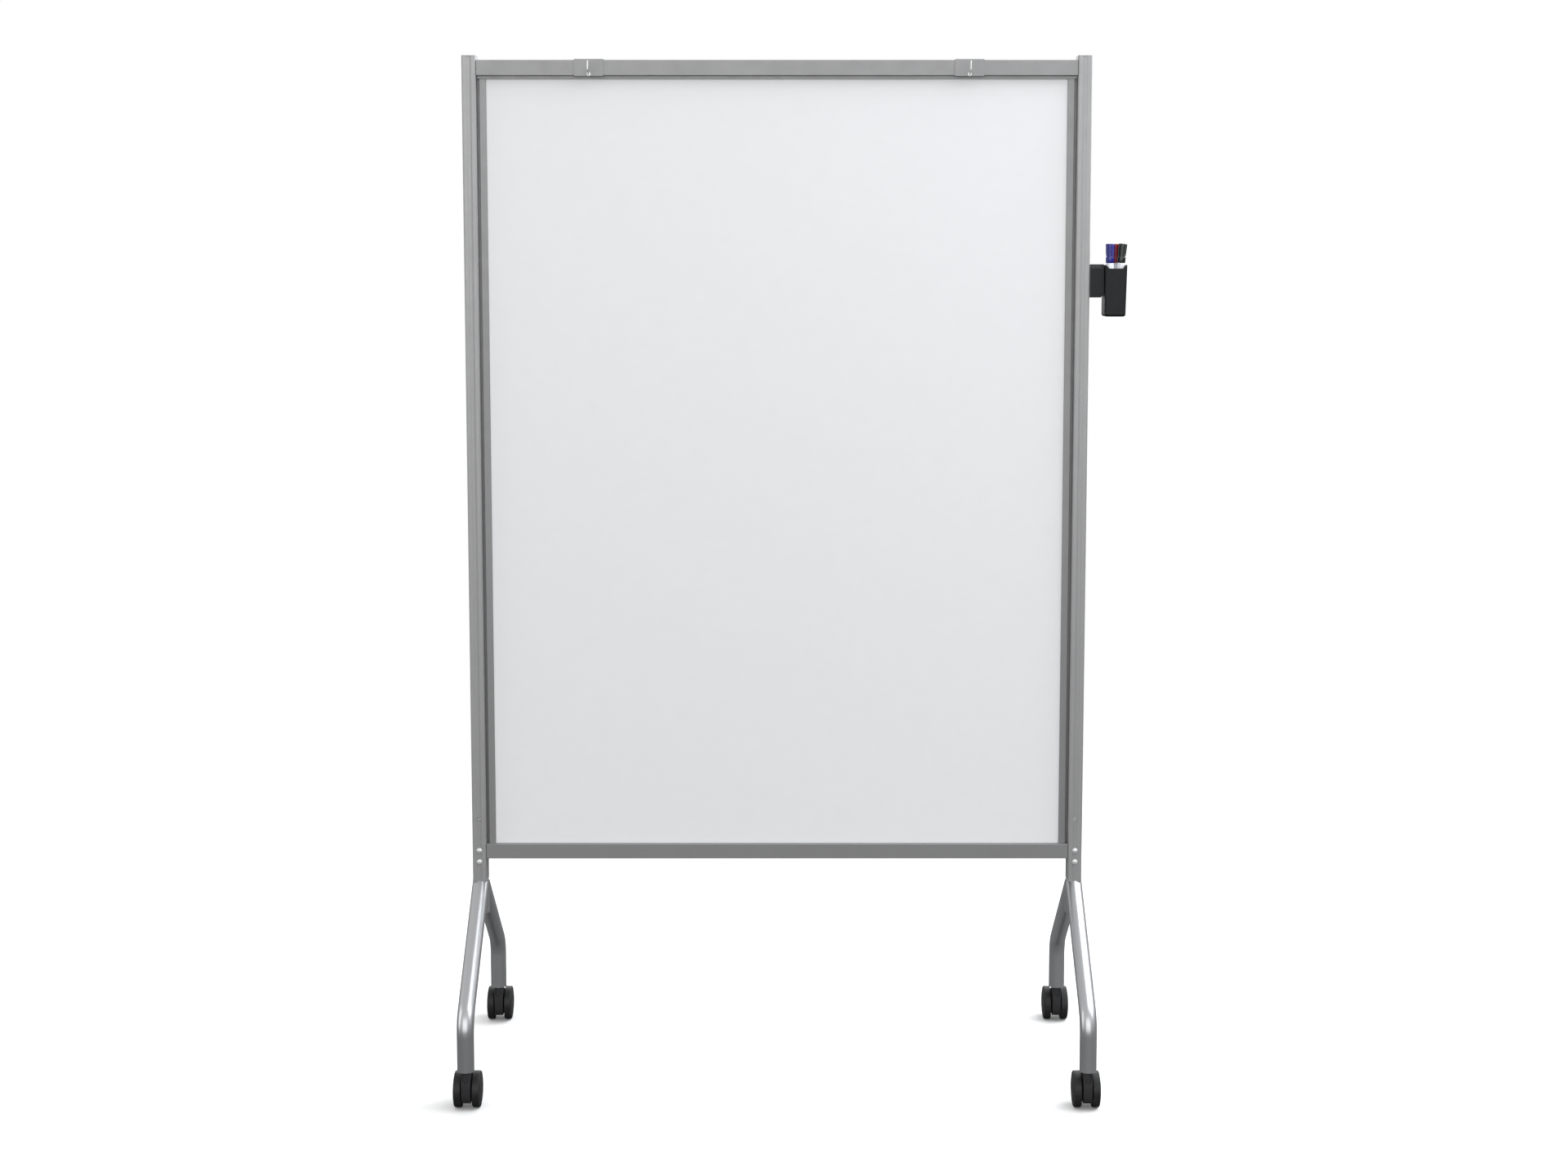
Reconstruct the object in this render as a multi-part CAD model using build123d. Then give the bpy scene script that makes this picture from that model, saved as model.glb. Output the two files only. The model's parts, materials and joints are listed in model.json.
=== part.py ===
from build123d import *
import os
from math import cos, radians, sin, tan

# Two-sided rolling whiteboard, millimetres, +Z up, +X to the right, front face towards -Y.
# Everything is modelled about the board's own centre line (X = 0, Y = 0, floor at Z = 0) and moved
# at the end so that the origin is the middle of the overall footprint.

# ---- Posts -------------------------------------------------------------------------------------
TOTAL_HEIGHT = 1841.5
POST_X = 544.0            # centre of each post from the board's centre
POST_WIDTH = 25.4
POST_DEPTH = 38.0
POST_WALL = 1.8
POST_CORNER = 3.0
POST_BOTTOM = 351.0
CAP_PLATE = 1.5           # thickness of the end cap that shows
CAP_PLUG = 8.0            # how far the cap reaches into the post
FLUTE_WIDTH = 9.0         # shallow groove down the front and back of each post
FLUTE_DEPTH = 0.9

# ---- Rails -------------------------------------------------------------------------------------
RAIL_DEPTH = 36.0
RAIL_HEIGHT = 27.0
RAIL_WALL = 2.0
TOP_RAIL_TOP = 1833.5
BOTTOM_RAIL_BOTTOM = 394.0
RAIL_END_GAP = 0.4        # seam between a rail's end and the post
SLOT_HALF = 8.4           # half width of the slot that takes the panel
SLOT_DEPTH = 14.0
LIP_DEPTH = 5.0           # lip of the top rail that hangs below its face
LIP_HALF = 10.4
BLOCK_LENGTH = 30.0       # joining block in each rail end
RAIL_SCREW_R = 2.0
RAIL_SCREW_HEAD_R = 3.6
RAIL_SCREW_HEAD = 2.4

# ---- Panel -------------------------------------------------------------------------------------
CORE_THICKNESS = 9.8
SHEET_THICKNESS = 0.4
TRIM_INNER_X = 514.8      # edge of the white surface
TRIM_OUTER_X = 527.1
TRIM_HALF = 8.0
TRIM_WALL = 1.8
PANEL_GAP = 0.2
FIN_HALF = 1.0            # half thickness of the fin that closes the gap to the post

# ---- Legs --------------------------------------------------------------------------------------
TUBE_R = 15.0
TUBE_WALL = 1.5
LEG_REACH = 242.5         # caster stem from the post's axis, front and rear
LEG_SLOPE = 37.47         # degrees below horizontal
LEG_TOP = 348.5           # where the sloping axis meets the post's axis
LEG_BEND_R = 55.0
LEG_BOTTOM = 73.0
STUB_BOTTOM = 288.5
SPIGOT_TOP = 492.0
SPIGOT_WALL = 2.5
FIT_GAP = 0.2             # between the spigot and the inside of the post
BOLT_HEIGHTS = (388.0, 409.0)
BOLT_R = 3.0
BOLT_HEAD_R = 4.9
BOLT_HEAD = 2.6
NUT_R = 5.6
NUT_HEIGHT = 5.0
SCREW_HEIGHT = 468.0
SCREW_HEAD_R = 4.2
SCREW_HEAD = 1.0
SCREW_R = 2.5

# ---- Casters -----------------------------------------------------------------------------------
WHEEL_R = 31.75
WHEEL_WIDTH = 15.0
WHEEL_EDGE = 1.5
TRAIL = 25.0              # wheel axis behind the stem
HOOD_HALF = 8.5
WHEEL_GAP = 1.25          # hood to wheel
CASTER_HALF = HOOD_HALF + WHEEL_GAP + WHEEL_WIDTH
HOOD_R = 28.5
HOOD_BOTTOM = 12.5
HOOD_TOP = 71.0
HOOD_FRONT = -10.0
POCKET_HALF = 5.8         # U-shaped pocket in the front of the hood
POCKET_LOW = 52.0
POCKET_DEPTH = 3.6
STEM_R = 4.0
STEM_COLLAR_R = 4.8
STEM_LOW = 40.0
STEM_HIGH = 101.0
SOCKET_LENGTH = 30.0
AXLE_R = 3.0
RUNNING = 0.05            # radial clearance of a turning fit
BRAKE_SLOT_HALF = 4.6
BRAKE_ARM_HALF = 4.3
BRAKE_PEDAL_HALF = 9.0
BRAKE_PIVOT = (42.0, 46.0)
BRAKE_PIN_R = 1.5

# ---- Hook clips --------------------------------------------------------------------------------
CLIP_X = {"left": -332.0, "right": 340.0}
CLIP_WIDTH = 52.0
CLIP_SHEET = 1.2
CLIP_GAP = 0.4
CLIP_LOW = 1805.3
CLIP_CORNER = 1.0
HOOK_R = 1.3
HOOK_REACH = 26.0         # hook's upright from the clip's front face
HOOK_TIP = 1830.0
HOOK_ROOT = 1808.0
HOOK_RISE = 3.0
HOOK_BEND_R = 5.0

# ---- Pen holder --------------------------------------------------------------------------------
PAD_THICKNESS = 2.0
BRACKET_OUT = 583.2
BRACKET_HALF = 16.0
BRACKET_LOW = 1416.0
BRACKET_HIGH = 1475.0
CUP_IN = 583.5
CUP_OUT = 623.0
CUP_HALF = 25.0
CUP_LOW = 1382.0
CUP_HIGH = 1474.0
CUP_WALL = 2.0
CUP_FLOOR = 6.0
CUP_CORNER = 4.0
CUP_FOOT = 3.5            # bevel round the cup's base
CUP_TAPER = 2.0           # how much narrower the cup is at its base
CUP_SCOOP = 6.0           # how far the front rim dips
RIB_NECK_HALF = 3.0
RIB_HEAD_HALF = 6.0
RIB_LOW = 1432.0
RIB_HIGH = 1468.0
SLIDE_GAP = 0.3

# ---- Markers -----------------------------------------------------------------------------------
BARREL_R = 7.0
BARREL_LENGTH = 88.6
NECK_R = 6.0
NECK_LENGTH = 16.0
NIB_R = 2.4
NIB_LENGTH = 6.0
MARKER_CAP_R = 8.0
CAP_LENGTH = 34.0
CAP_WALL_TOP = 3.0
COLLAR_LENGTH = 11.0
RING_PITCH = 3.6
MARKERS = {               # position on the cup's floor and lean towards +X in degrees
    "blue": (592.8, -14.0, 0.0),
    "red": (606.0, 10.0, 0.0),
    "black": (605.8, -7.0, 5.0),
}

SIDES = {"left": -1, "right": 1}
ENDS = {"front": -1, "rear": 1}

RAIL_HALF_LENGTH = POST_X - POST_WIDTH / 2 - RAIL_END_GAP
POST_FACE = POST_X + POST_WIDTH / 2
CENTRE_X = (CUP_OUT - POST_X - CASTER_HALF) / 2
CENTRE_Y = (TRAIL + WHEEL_R - TUBE_R) / 2


# ---- Helpers -----------------------------------------------------------------------------------
def block(x, y, z):
    """Box between two limits on each axis."""
    size = [limit[1] - limit[0] for limit in (x, y, z)]
    middle = [(limit[0] + limit[1]) / 2 for limit in (x, y, z)]
    return Pos(*middle) * Box(*size)


def rod(start, end, radius):
    """Cylinder from one point to another."""
    line = Vector(*end) - Vector(*start)
    base = Plane(origin=start, z_dir=line)
    return base * Cylinder(radius, line.length, align=(Align.CENTER, Align.CENTER, Align.MIN))


def along_x(sketch, x_from, x_to):
    """A profile drawn in (Y, Z), pulled along X."""
    return extrude(Plane.YZ.offset(x_from) * sketch, x_to - x_from)


def outline(*points):
    return make_face(Polyline(*points, close=True))


def turned(sketch):
    """A profile drawn as (along X, radius), turned about the X axis."""
    return revolve(sketch, Axis.X)


# ---- Posts and rails ---------------------------------------------------------------------------
def post_section():
    return RectangleRounded(POST_WIDTH, POST_DEPTH, POST_CORNER)


def post_cavity():
    return RectangleRounded(
        POST_WIDTH - 2 * POST_WALL, POST_DEPTH - 2 * POST_WALL, POST_CORNER - POST_WALL
    )


def flute(face):
    """Shallow round-bottomed groove; face is -1 for the front and +1 for the back."""
    radius = (FLUTE_WIDTH**2 / 4 + FLUTE_DEPTH**2) / (2 * FLUTE_DEPTH)
    return Pos(0, face * (POST_DEPTH / 2 + radius - FLUTE_DEPTH)) * Circle(radius)


def post(side):
    section = post_section() - post_cavity() - flute(-1) - flute(1)
    height = TOTAL_HEIGHT - CAP_PLATE - POST_BOTTOM
    shape = Pos(side * POST_X, 0, POST_BOTTOM) * extrude(section, height)
    x = side * POST_X
    for z in BOLT_HEIGHTS:
        shape -= rod((x, -POST_DEPTH, z), (x, POST_DEPTH, z), BOLT_R + FIT_GAP)
    shape -= rod((x, -POST_DEPTH, SCREW_HEIGHT), (x, 0, SCREW_HEIGHT), SCREW_HEAD_R + FIT_GAP)
    for z in RAIL_SCREW_HEIGHTS:
        shape -= rod((x, 0, z), (x - side * POST_WIDTH, 0, z), RAIL_SCREW_R + FIT_GAP)
    return shape


def post_cap(side):
    plate = extrude(post_section(), CAP_PLATE)
    plate = chamfer(plate.faces().sort_by(Axis.Z)[-1].edges(), 0.6)
    plug = RectangleRounded(
        POST_WIDTH - 2 * POST_WALL - FIT_GAP, POST_DEPTH - 2 * POST_WALL - FIT_GAP, 1.0
    )
    cap = plate + Pos(0, 0, -CAP_PLUG) * extrude(plug, CAP_PLUG)
    return Pos(side * POST_X, 0, TOTAL_HEIGHT - CAP_PLATE) * cap


def rail_section(lip):
    """Channel with its slot upwards: web, two hollow sides and, on the top rail, a lip."""
    half, wall = RAIL_DEPTH / 2, RAIL_WALL
    slot_floor = RAIL_HEIGHT - SLOT_DEPTH
    section = Pos(0, RAIL_HEIGHT / 2) * RectangleRounded(RAIL_DEPTH, RAIL_HEIGHT, 0.8)
    if lip:
        section += Pos(0, RAIL_HEIGHT + lip / 2 - 0.5) * Rectangle(2 * LIP_HALF, lip + 1)
    section -= Pos(0, slot_floor + RAIL_HEIGHT / 2) * Rectangle(2 * SLOT_HALF, RAIL_HEIGHT)
    chamber = slot_floor - 2 * wall
    section -= Pos(0, wall + chamber / 2) * Rectangle(RAIL_DEPTH - 2 * wall, chamber)
    side_width = half - wall - LIP_HALF
    for way in (-1, 1):
        centre = Pos(way * (LIP_HALF + side_width / 2), slot_floor + (SLOT_DEPTH - wall) / 2)
        section -= centre * Rectangle(side_width, SLOT_DEPTH - wall)
    return section


def rail(bottom_edge, lip=0.0, upside_down=False):
    shape = along_x(rail_section(lip), -RAIL_HALF_LENGTH, RAIL_HALF_LENGTH)
    if upside_down:
        shape = mirror(shape, Plane.XY)
    return Pos(0, 0, bottom_edge) * shape


CHAMBER = RAIL_HEIGHT - SLOT_DEPTH - 2 * RAIL_WALL
BLOCK_CENTRES = (
    BOTTOM_RAIL_BOTTOM + RAIL_WALL + CHAMBER / 2,
    TOP_RAIL_TOP - RAIL_WALL - CHAMBER / 2,
)
RAIL_SCREW_HEIGHTS = BLOCK_CENTRES


def rail_blocks():
    """Joining blocks inside the four rail ends."""
    half = RAIL_DEPTH / 2 - RAIL_WALL - FIT_GAP
    tall = CHAMBER / 2 - FIT_GAP
    blocks = []
    for side in SIDES.values():
        x = sorted((side * (RAIL_HALF_LENGTH - BLOCK_LENGTH), side * RAIL_HALF_LENGTH))
        for z in BLOCK_CENTRES:
            piece = block(x, (-half, half), (z - tall, z + tall))
            blocks.append(piece - rail_screw(side, z))
    return Compound(blocks)


def rail_screw(side, z):
    """Pan-head screw from inside the post into the rail's joining block."""
    wall_inside = POST_X - POST_WIDTH / 2 + POST_WALL
    head_end = side * (wall_inside + RAIL_SCREW_HEAD)
    head = rod((side * wall_inside, 0, z), (head_end, 0, z), RAIL_SCREW_HEAD_R)
    tip = side * (RAIL_HALF_LENGTH - 0.7 * BLOCK_LENGTH)
    return head + rod((side * wall_inside, 0, z), (tip, 0, z), RAIL_SCREW_R)


def rail_screws():
    screws = [rail_screw(side, z) for side in SIDES.values() for z in RAIL_SCREW_HEIGHTS]
    return Compound(screws)


# ---- Panel -------------------------------------------------------------------------------------
TRIM_LOW = BOTTOM_RAIL_BOTTOM + RAIL_HEIGHT - SLOT_DEPTH + PANEL_GAP
TRIM_HIGH = TOP_RAIL_TOP - RAIL_HEIGHT + SLOT_DEPTH - PANEL_GAP
PANEL_HALF = CORE_THICKNESS / 2 + SHEET_THICKNESS
PANEL_X = TRIM_OUTER_X - TRIM_WALL - PANEL_GAP
PANEL_Z = (TRIM_LOW + TRIM_WALL + PANEL_GAP, TRIM_HIGH - TRIM_WALL - PANEL_GAP)
TRIM_REACH = TRIM_OUTER_X - TRIM_INNER_X


def panel_layer(y_from, y_to):
    return block((-PANEL_X, PANEL_X), (y_from, y_to), PANEL_Z)


def trim_section():
    """U-shaped trim that wraps a panel edge; its closed side is at zero, opening to +."""
    slot = PANEL_HALF + 0.1
    body = Pos(TRIM_REACH / 2, 0) * RectangleRounded(TRIM_REACH, 2 * TRIM_HALF, 1.0)
    groove_length = TRIM_REACH - TRIM_WALL
    return body - Pos(TRIM_WALL + groove_length / 2, 0) * Rectangle(groove_length, 2 * slot)


def side_trim(side):
    """Upright trim with a fin that reaches the post and closes the gap between them."""
    length = TRIM_HIGH - TRIM_LOW
    to_post = POST_X - POST_WIDTH / 2 - TRIM_OUTER_X
    upright = extrude(trim_section(), length)
    upright += block((-to_post, TRIM_WALL / 2), (-FIN_HALF, FIN_HALF), (0, length))
    if side > 0:
        upright = mirror(upright, Plane.YZ)
    return Pos(side * TRIM_OUTER_X, 0, TRIM_LOW) * upright


def level_trim(edge, closed_below):
    """Trim along the top or bottom edge, between the two side trims."""
    length = 2 * (TRIM_INNER_X - PANEL_GAP)
    bar = Rot(0, -90, 0) * extrude(trim_section(), length)
    if not closed_below:
        bar = mirror(bar, Plane.XY)
    return Pos(length / 2, 0, edge) * bar


# ---- Legs --------------------------------------------------------------------------------------
def leg_stub(side):
    """Round stub under the post, with the flat-sided spigot that goes up inside it."""
    stub = extrude(Circle(TUBE_R), POST_BOTTOM - STUB_BOTTOM)
    stub = fillet(stub.faces().sort_by(Axis.Z)[0].edges(), 2.0)
    width = POST_WIDTH - 2 * POST_WALL - 2 * FIT_GAP
    depth = POST_DEPTH - 2 * POST_WALL - 2 * FIT_GAP
    section = RectangleRounded(width, depth, 1.0)
    section -= Rectangle(width - 2 * SPIGOT_WALL, depth - 2 * SPIGOT_WALL)
    spigot = extrude(section, SPIGOT_TOP - POST_BOTTOM)
    x = side * POST_X
    shape = Pos(x, 0, STUB_BOTTOM) * stub + Pos(x, 0, POST_BOTTOM) * spigot
    for z in BOLT_HEIGHTS:
        shape -= rod((x, -POST_DEPTH, z), (x, POST_DEPTH, z), BOLT_R + FIT_GAP)
    shape -= rod((x, -POST_DEPTH, SCREW_HEIGHT), (x, 0, SCREW_HEIGHT), SCREW_R)
    z = min(RAIL_SCREW_HEIGHTS)
    return shape - rod((x, 0, z), (x - side * POST_WIDTH, 0, z), RAIL_SCREW_HEAD_R + FIT_GAP)


def leg_tube(side, end):
    """Tube that slopes away from the stub and bends down to its caster; it just laps the post."""
    x = side * POST_X
    knee = LEG_TOP - LEG_REACH * tan(radians(LEG_SLOPE))
    path = FilletPolyline(
        (x, 0, LEG_TOP), (x, end * LEG_REACH, knee), (x, end * LEG_REACH, LEG_BOTTOM),
        radius=LEG_BEND_R,
    )
    start = Plane(origin=path @ 0, z_dir=path % 0)
    tube = sweep(start * (Circle(TUBE_R) - Circle(TUBE_R - TUBE_WALL)), path=path)
    beyond = block((x - 50, x + 50), sorted((0, -end * 60)), (LEG_TOP - 90, LEG_TOP + 90))
    lap = sorted((-end * 60, end * POST_DEPTH / 2))
    under_post = block((x - 50, x + 50), lap, (POST_BOTTOM, LEG_TOP + 90))
    return tube - rod((x, 0, 0), (x, 0, TOTAL_HEIGHT), TUBE_R) - beyond - under_post


def dome(radius, height):
    """Low domed button on the XY plane."""
    sphere_r = (radius**2 + height**2) / (2 * height)
    ball = Pos(0, 0, height - sphere_r) * Sphere(sphere_r)
    return ball & Pos(0, 0, height / 2) * Box(3 * radius, 3 * radius, height)


def leg_bolts():
    """Domed bolts through post and spigot, two on each side."""
    bolts = []
    for side in SIDES.values():
        for z in BOLT_HEIGHTS:
            x = side * POST_X
            head = Location((x, -POST_DEPTH / 2, z), (90, 0, 0)) * dome(BOLT_HEAD_R, BOLT_HEAD)
            far_end = POST_DEPTH / 2 + NUT_HEIGHT + 1
            shank = rod((x, -POST_DEPTH / 2, z), (x, far_end, z), BOLT_R)
            bolts.append(head + shank)
    return Compound(bolts)


def leg_nuts():
    nuts = []
    for side in SIDES.values():
        for z in BOLT_HEIGHTS:
            nut = extrude(RegularPolygon(NUT_R, 6) - Circle(BOLT_R), NUT_HEIGHT)
            nuts.append(Location((side * POST_X, POST_DEPTH / 2, z), (-90, 0, 0)) * nut)
    return Compound(nuts)


def spigot_screws():
    """Recessed screws that lock the upper end of each spigot."""
    screws = []
    seat = -POST_DEPTH / 2 + POST_WALL + FIT_GAP
    for side in SIDES.values():
        x, z = side * POST_X, SCREW_HEIGHT
        head = rod((x, seat, z), (x, seat - SCREW_HEAD, z), SCREW_HEAD_R)
        socket = rod((x, seat - SCREW_HEAD, z), (x, seat - SCREW_HEAD + 0.7, z), 1.6)
        shank = rod((x, seat, z), (x, seat + 6, z), SCREW_R)
        screws.append(head + shank - socket)
    return Compound(screws)


# ---- Casters -----------------------------------------------------------------------------------
def stem_sockets():
    """Plastic sleeve in the foot of each leg tube, gripping the caster stem."""
    sockets = []
    sleeve = extrude(Circle(TUBE_R - TUBE_WALL) - Circle(STEM_R), SOCKET_LENGTH)
    for side in SIDES.values():
        for end in ENDS.values():
            sockets.append(Pos(side * POST_X, end * LEG_REACH, LEG_BOTTOM) * sleeve)
    return Compound(sockets)


def caster_stems():
    """Steel stems, each with the collar that shows between hood and tube."""
    stems = []
    for side in SIDES.values():
        for end in ENDS.values():
            x, y = side * POST_X, end * LEG_REACH
            stem = rod((x, y, STEM_LOW), (x, y, STEM_HIGH), STEM_R)
            collar = rod((x, y, HOOD_TOP + SLIDE_GAP), (x, y, LEG_BOTTOM), STEM_COLLAR_R)
            stems.append(stem + collar)
    return Compound(stems)


def hood_profile():
    """Side view of a hood in (Y from the stem, Z): round over the wheels, neck in front."""
    drop = WHEEL_R - HOOD_BOTTOM
    half_chord = (HOOD_R**2 - drop**2) ** 0.5
    low_front = (TRAIL - half_chord, HOOD_BOTTOM)
    low_back = (TRAIL + half_chord, HOOD_BOTTOM)
    shoulder = (TRAIL + HOOD_R * cos(radians(60)), WHEEL_R + HOOD_R * sin(radians(60)))
    neck_low = (HOOD_FRONT, 50.0)
    edges = [
        Line(low_front, low_back),
        ThreePointArc(low_back, (TRAIL + HOOD_R, WHEEL_R), shoulder),
        Line(shoulder, (9.0, HOOD_TOP)),
        Line((9.0, HOOD_TOP), (HOOD_FRONT, HOOD_TOP)),
        Line((HOOD_FRONT, HOOD_TOP), neck_low),
        ThreePointArc(neck_low, (-7.2, 27.0), low_front),
    ]
    return make_face(edges)


def caster_hood(with_brake):
    """Hood about its stem: the stem is the Z axis and the wheels trail towards +Y."""
    hood = along_x(hood_profile(), -HOOD_HALF, HOOD_HALF)
    hood = chamfer(hood.faces().sort_by(Axis.Z)[0].edges().filter_by(Axis.Y), 1.6)
    round_low = POCKET_LOW + POCKET_HALF
    deep = HOOD_FRONT + POCKET_DEPTH
    pocket = block((-POCKET_HALF, POCKET_HALF), (2 * HOOD_FRONT, deep), (round_low, 80))
    pocket += rod((0, 2 * HOOD_FRONT, round_low), (0, deep, round_low), POCKET_HALF)
    hood -= pocket
    hood -= rod((0, 0, STEM_LOW - 1), (0, 0, 90), STEM_R + RUNNING)
    hood -= rod((-20, TRAIL, WHEEL_R), (20, TRAIL, WHEEL_R), AXLE_R)
    if with_brake:
        slot_y = (BRAKE_PIVOT[0] - 6.5, 80)
        hood -= block((-BRAKE_SLOT_HALF, BRAKE_SLOT_HALF), slot_y, (BRAKE_PIVOT[1] - 8, 90))
        pin = ((-20, *BRAKE_PIVOT), (20, *BRAKE_PIVOT))
        hood -= rod(*pin, BRAKE_PIN_R + RUNNING)
    return hood


def brake_lever():
    """Pedal behind the hood: a narrow arm in the hood's slot, its pin, and a wide pad."""
    y, z = BRAKE_PIVOT
    arm = outline(
        (y - 4, z - 3), (y - 4, z + 3), (y + 13, z + 4), (y + 16, z + 4), (y + 16, z), (y + 5, z - 3)
    )
    pad = outline((y + 13, z + 4), (y + 24, z + 3), (y + 26, z + 1), (y + 24, z - 0.5), (y + 13, z))
    lever = along_x(arm, -BRAKE_ARM_HALF, BRAKE_ARM_HALF)
    lever += along_x(pad, -BRAKE_PEDAL_HALF, BRAKE_PEDAL_HALF)
    return lever + rod((-HOOD_HALF, y, z), (HOOD_HALF, y, z), BRAKE_PIN_R)


def caster_axle():
    reach = HOOD_HALF + WHEEL_GAP + WHEEL_WIDTH - 3
    return rod((-reach, TRAIL, WHEEL_R), (reach, TRAIL, WHEEL_R), AXLE_R)


def caster_wheel(way):
    """One wheel: flat tread, domed outer face, blind bore; way is the side of the hood."""
    bore_r = AXLE_R + RUNNING
    bore_end = WHEEL_WIDTH - 2.6
    crown = (WHEEL_WIDTH, 12.0)
    tread_end = (WHEEL_WIDTH - 4.0, WHEEL_R)
    edges = [
        Polyline((0, bore_r), (0, WHEEL_R - WHEEL_EDGE), (WHEEL_EDGE, WHEEL_R), tread_end),
        ThreePointArc(tread_end, (WHEEL_WIDTH - 1.1, 24.0), crown),
        Polyline(crown, (WHEEL_WIDTH, 0), (bore_end, 0), (bore_end, bore_r), (0, bore_r)),
    ]
    wheel = turned(make_face(edges))
    if way < 0:
        wheel = mirror(wheel, Plane.YZ)
    return Pos(way * (HOOD_HALF + WHEEL_GAP), TRAIL, WHEEL_R) * wheel


# ---- Hook clips --------------------------------------------------------------------------------
def clip_saddle(x):
    """Bent sheet that sits over the top rail."""
    inner_y = RAIL_DEPTH / 2 + CLIP_GAP
    inner_z = TOP_RAIL_TOP + CLIP_GAP
    outer_y, outer_z = inner_y + CLIP_SHEET, inner_z + CLIP_SHEET
    width = (x - CLIP_WIDTH / 2, x + CLIP_WIDTH / 2)
    sheet = block(width, (-outer_y, outer_y), (CLIP_LOW, outer_z))
    sheet -= block((x - 50, x + 50), (-inner_y, inner_y), (CLIP_LOW - 10, inner_z))
    low_corners = sheet.edges().filter_by(Axis.Y).group_by(Axis.Z)[0]
    return fillet(low_corners, CLIP_CORNER)


def clip_hook(x):
    """Upturned wire hook on the front of a clip."""
    face = -(RAIL_DEPTH / 2 + CLIP_GAP + CLIP_SHEET)
    path = FilletPolyline(
        (x, face, HOOK_ROOT),
        (x, face - HOOK_REACH, HOOK_ROOT + HOOK_RISE),
        (x, face - HOOK_REACH, HOOK_TIP - HOOK_R),
        radius=HOOK_BEND_R,
    )
    start = Plane(origin=path @ 0, z_dir=path % 0)
    wire = sweep(start * Circle(HOOK_R), path=path)
    wire += Pos(x, face - HOOK_REACH, HOOK_TIP - HOOK_R) * Sphere(HOOK_R)
    return wire - block((x - 5, x + 5), (face, 0), (HOOK_ROOT - 5, HOOK_ROOT + 5))


# ---- Pen holder --------------------------------------------------------------------------------
def holder_pad():
    x = (POST_FACE, POST_FACE + PAD_THICKNESS)
    return block(x, (-BRACKET_HALF, BRACKET_HALF), (BRACKET_LOW, BRACKET_HIGH - 2))


def rib(grow):
    """T-shaped rib on the cup, grown by a gap to cut the slot in the bracket."""
    head_x = (BRACKET_OUT - 6 - grow, BRACKET_OUT - 3 + grow)
    neck_x = (BRACKET_OUT - 4, CUP_IN + 1)
    z = (RIB_LOW - grow, RIB_HIGH)
    head = block(head_x, (-RIB_HEAD_HALF - grow, RIB_HEAD_HALF + grow), z)
    return head + block(neck_x, (-RIB_NECK_HALF - grow, RIB_NECK_HALF + grow), z)


def holder_bracket():
    x = (POST_FACE + PAD_THICKNESS, BRACKET_OUT)
    shape = block(x, (-BRACKET_HALF, BRACKET_HALF), (BRACKET_LOW, BRACKET_HIGH))
    top_edges = shape.edges().filter_by(Axis.X).group_by(Axis.Z)[-1]
    shape = chamfer(top_edges, 7.0)
    low_outer = shape.edges().filter_by(Axis.Y).group_by(Axis.Z)[0].sort_by(Axis.X)[-1]
    shape = chamfer(low_outer, 6.0)
    slot = rib(SLIDE_GAP)
    open_above = Pos(0, 0, BRACKET_HIGH - RIB_HIGH) * slot
    return shape - slot - open_above


def pen_cup():
    """Tapered cup with rounded corners, bevelled base, dipped front rim and hanging rib."""
    width, depth = CUP_OUT - CUP_IN, 2 * CUP_HALF
    centre = ((CUP_IN + CUP_OUT) / 2, 0)
    tall = CUP_HIGH - CUP_LOW
    top = Pos(*centre, CUP_HIGH) * RectangleRounded(width, depth, CUP_CORNER)
    base = Pos(centre[0] - CUP_TAPER / 2, 0, CUP_LOW) * RectangleRounded(
        width - CUP_TAPER, depth - CUP_TAPER, CUP_CORNER
    )
    body = loft([base.faces()[0], top.faces()[0]])
    body = chamfer(body.faces().sort_by(Axis.Z)[0].edges(), CUP_FOOT)
    inner_top = Pos(*centre, CUP_HIGH) * RectangleRounded(
        width - 2 * CUP_WALL, depth - 2 * CUP_WALL, CUP_CORNER - CUP_WALL
    )
    inner_base = Pos(centre[0] - CUP_TAPER / 2, 0, CUP_LOW + CUP_FLOOR) * RectangleRounded(
        width - CUP_TAPER - 2 * CUP_WALL, depth - CUP_TAPER - 2 * CUP_WALL, CUP_CORNER - CUP_WALL
    )
    body -= loft([inner_base.faces()[0], inner_top.faces()[0]])
    scoop_half = width / 2 - CUP_CORNER + 2
    scoop_r = (scoop_half**2 + CUP_SCOOP**2) / (2 * CUP_SCOOP)
    rim = CUP_HIGH - CUP_SCOOP + scoop_r
    body -= rod((centre[0], -CUP_HALF - 5, rim), (centre[0], -CUP_HALF / 2, rim), scoop_r)
    hanger = rib(0) - block((CUP_IN, CUP_IN + 5), (-20, 20), (CUP_LOW, CUP_HIGH + 9))
    return body + hanger


# ---- Markers -----------------------------------------------------------------------------------
def marker_place(colour):
    """Place of a marker whose lowest edge just clears the cup's floor."""
    x, y, lean = MARKERS[colour]
    base = CUP_LOW + CUP_FLOOR + SLIDE_GAP + BARREL_R * sin(radians(lean))
    return Location((x, y, base), (0, lean, 0))


def marker_barrel():
    """Barrel, neck and nib standing on the origin."""
    barrel = extrude(Circle(BARREL_R), BARREL_LENGTH)
    barrel = chamfer(barrel.faces().sort_by(Axis.Z)[0].edges(), 1.2)
    neck_top = BARREL_LENGTH + NECK_LENGTH
    barrel += rod((0, 0, BARREL_LENGTH), (0, 0, neck_top), NECK_R)
    return barrel + rod((0, 0, neck_top), (0, 0, neck_top + NIB_LENGTH), NIB_R)


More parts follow.
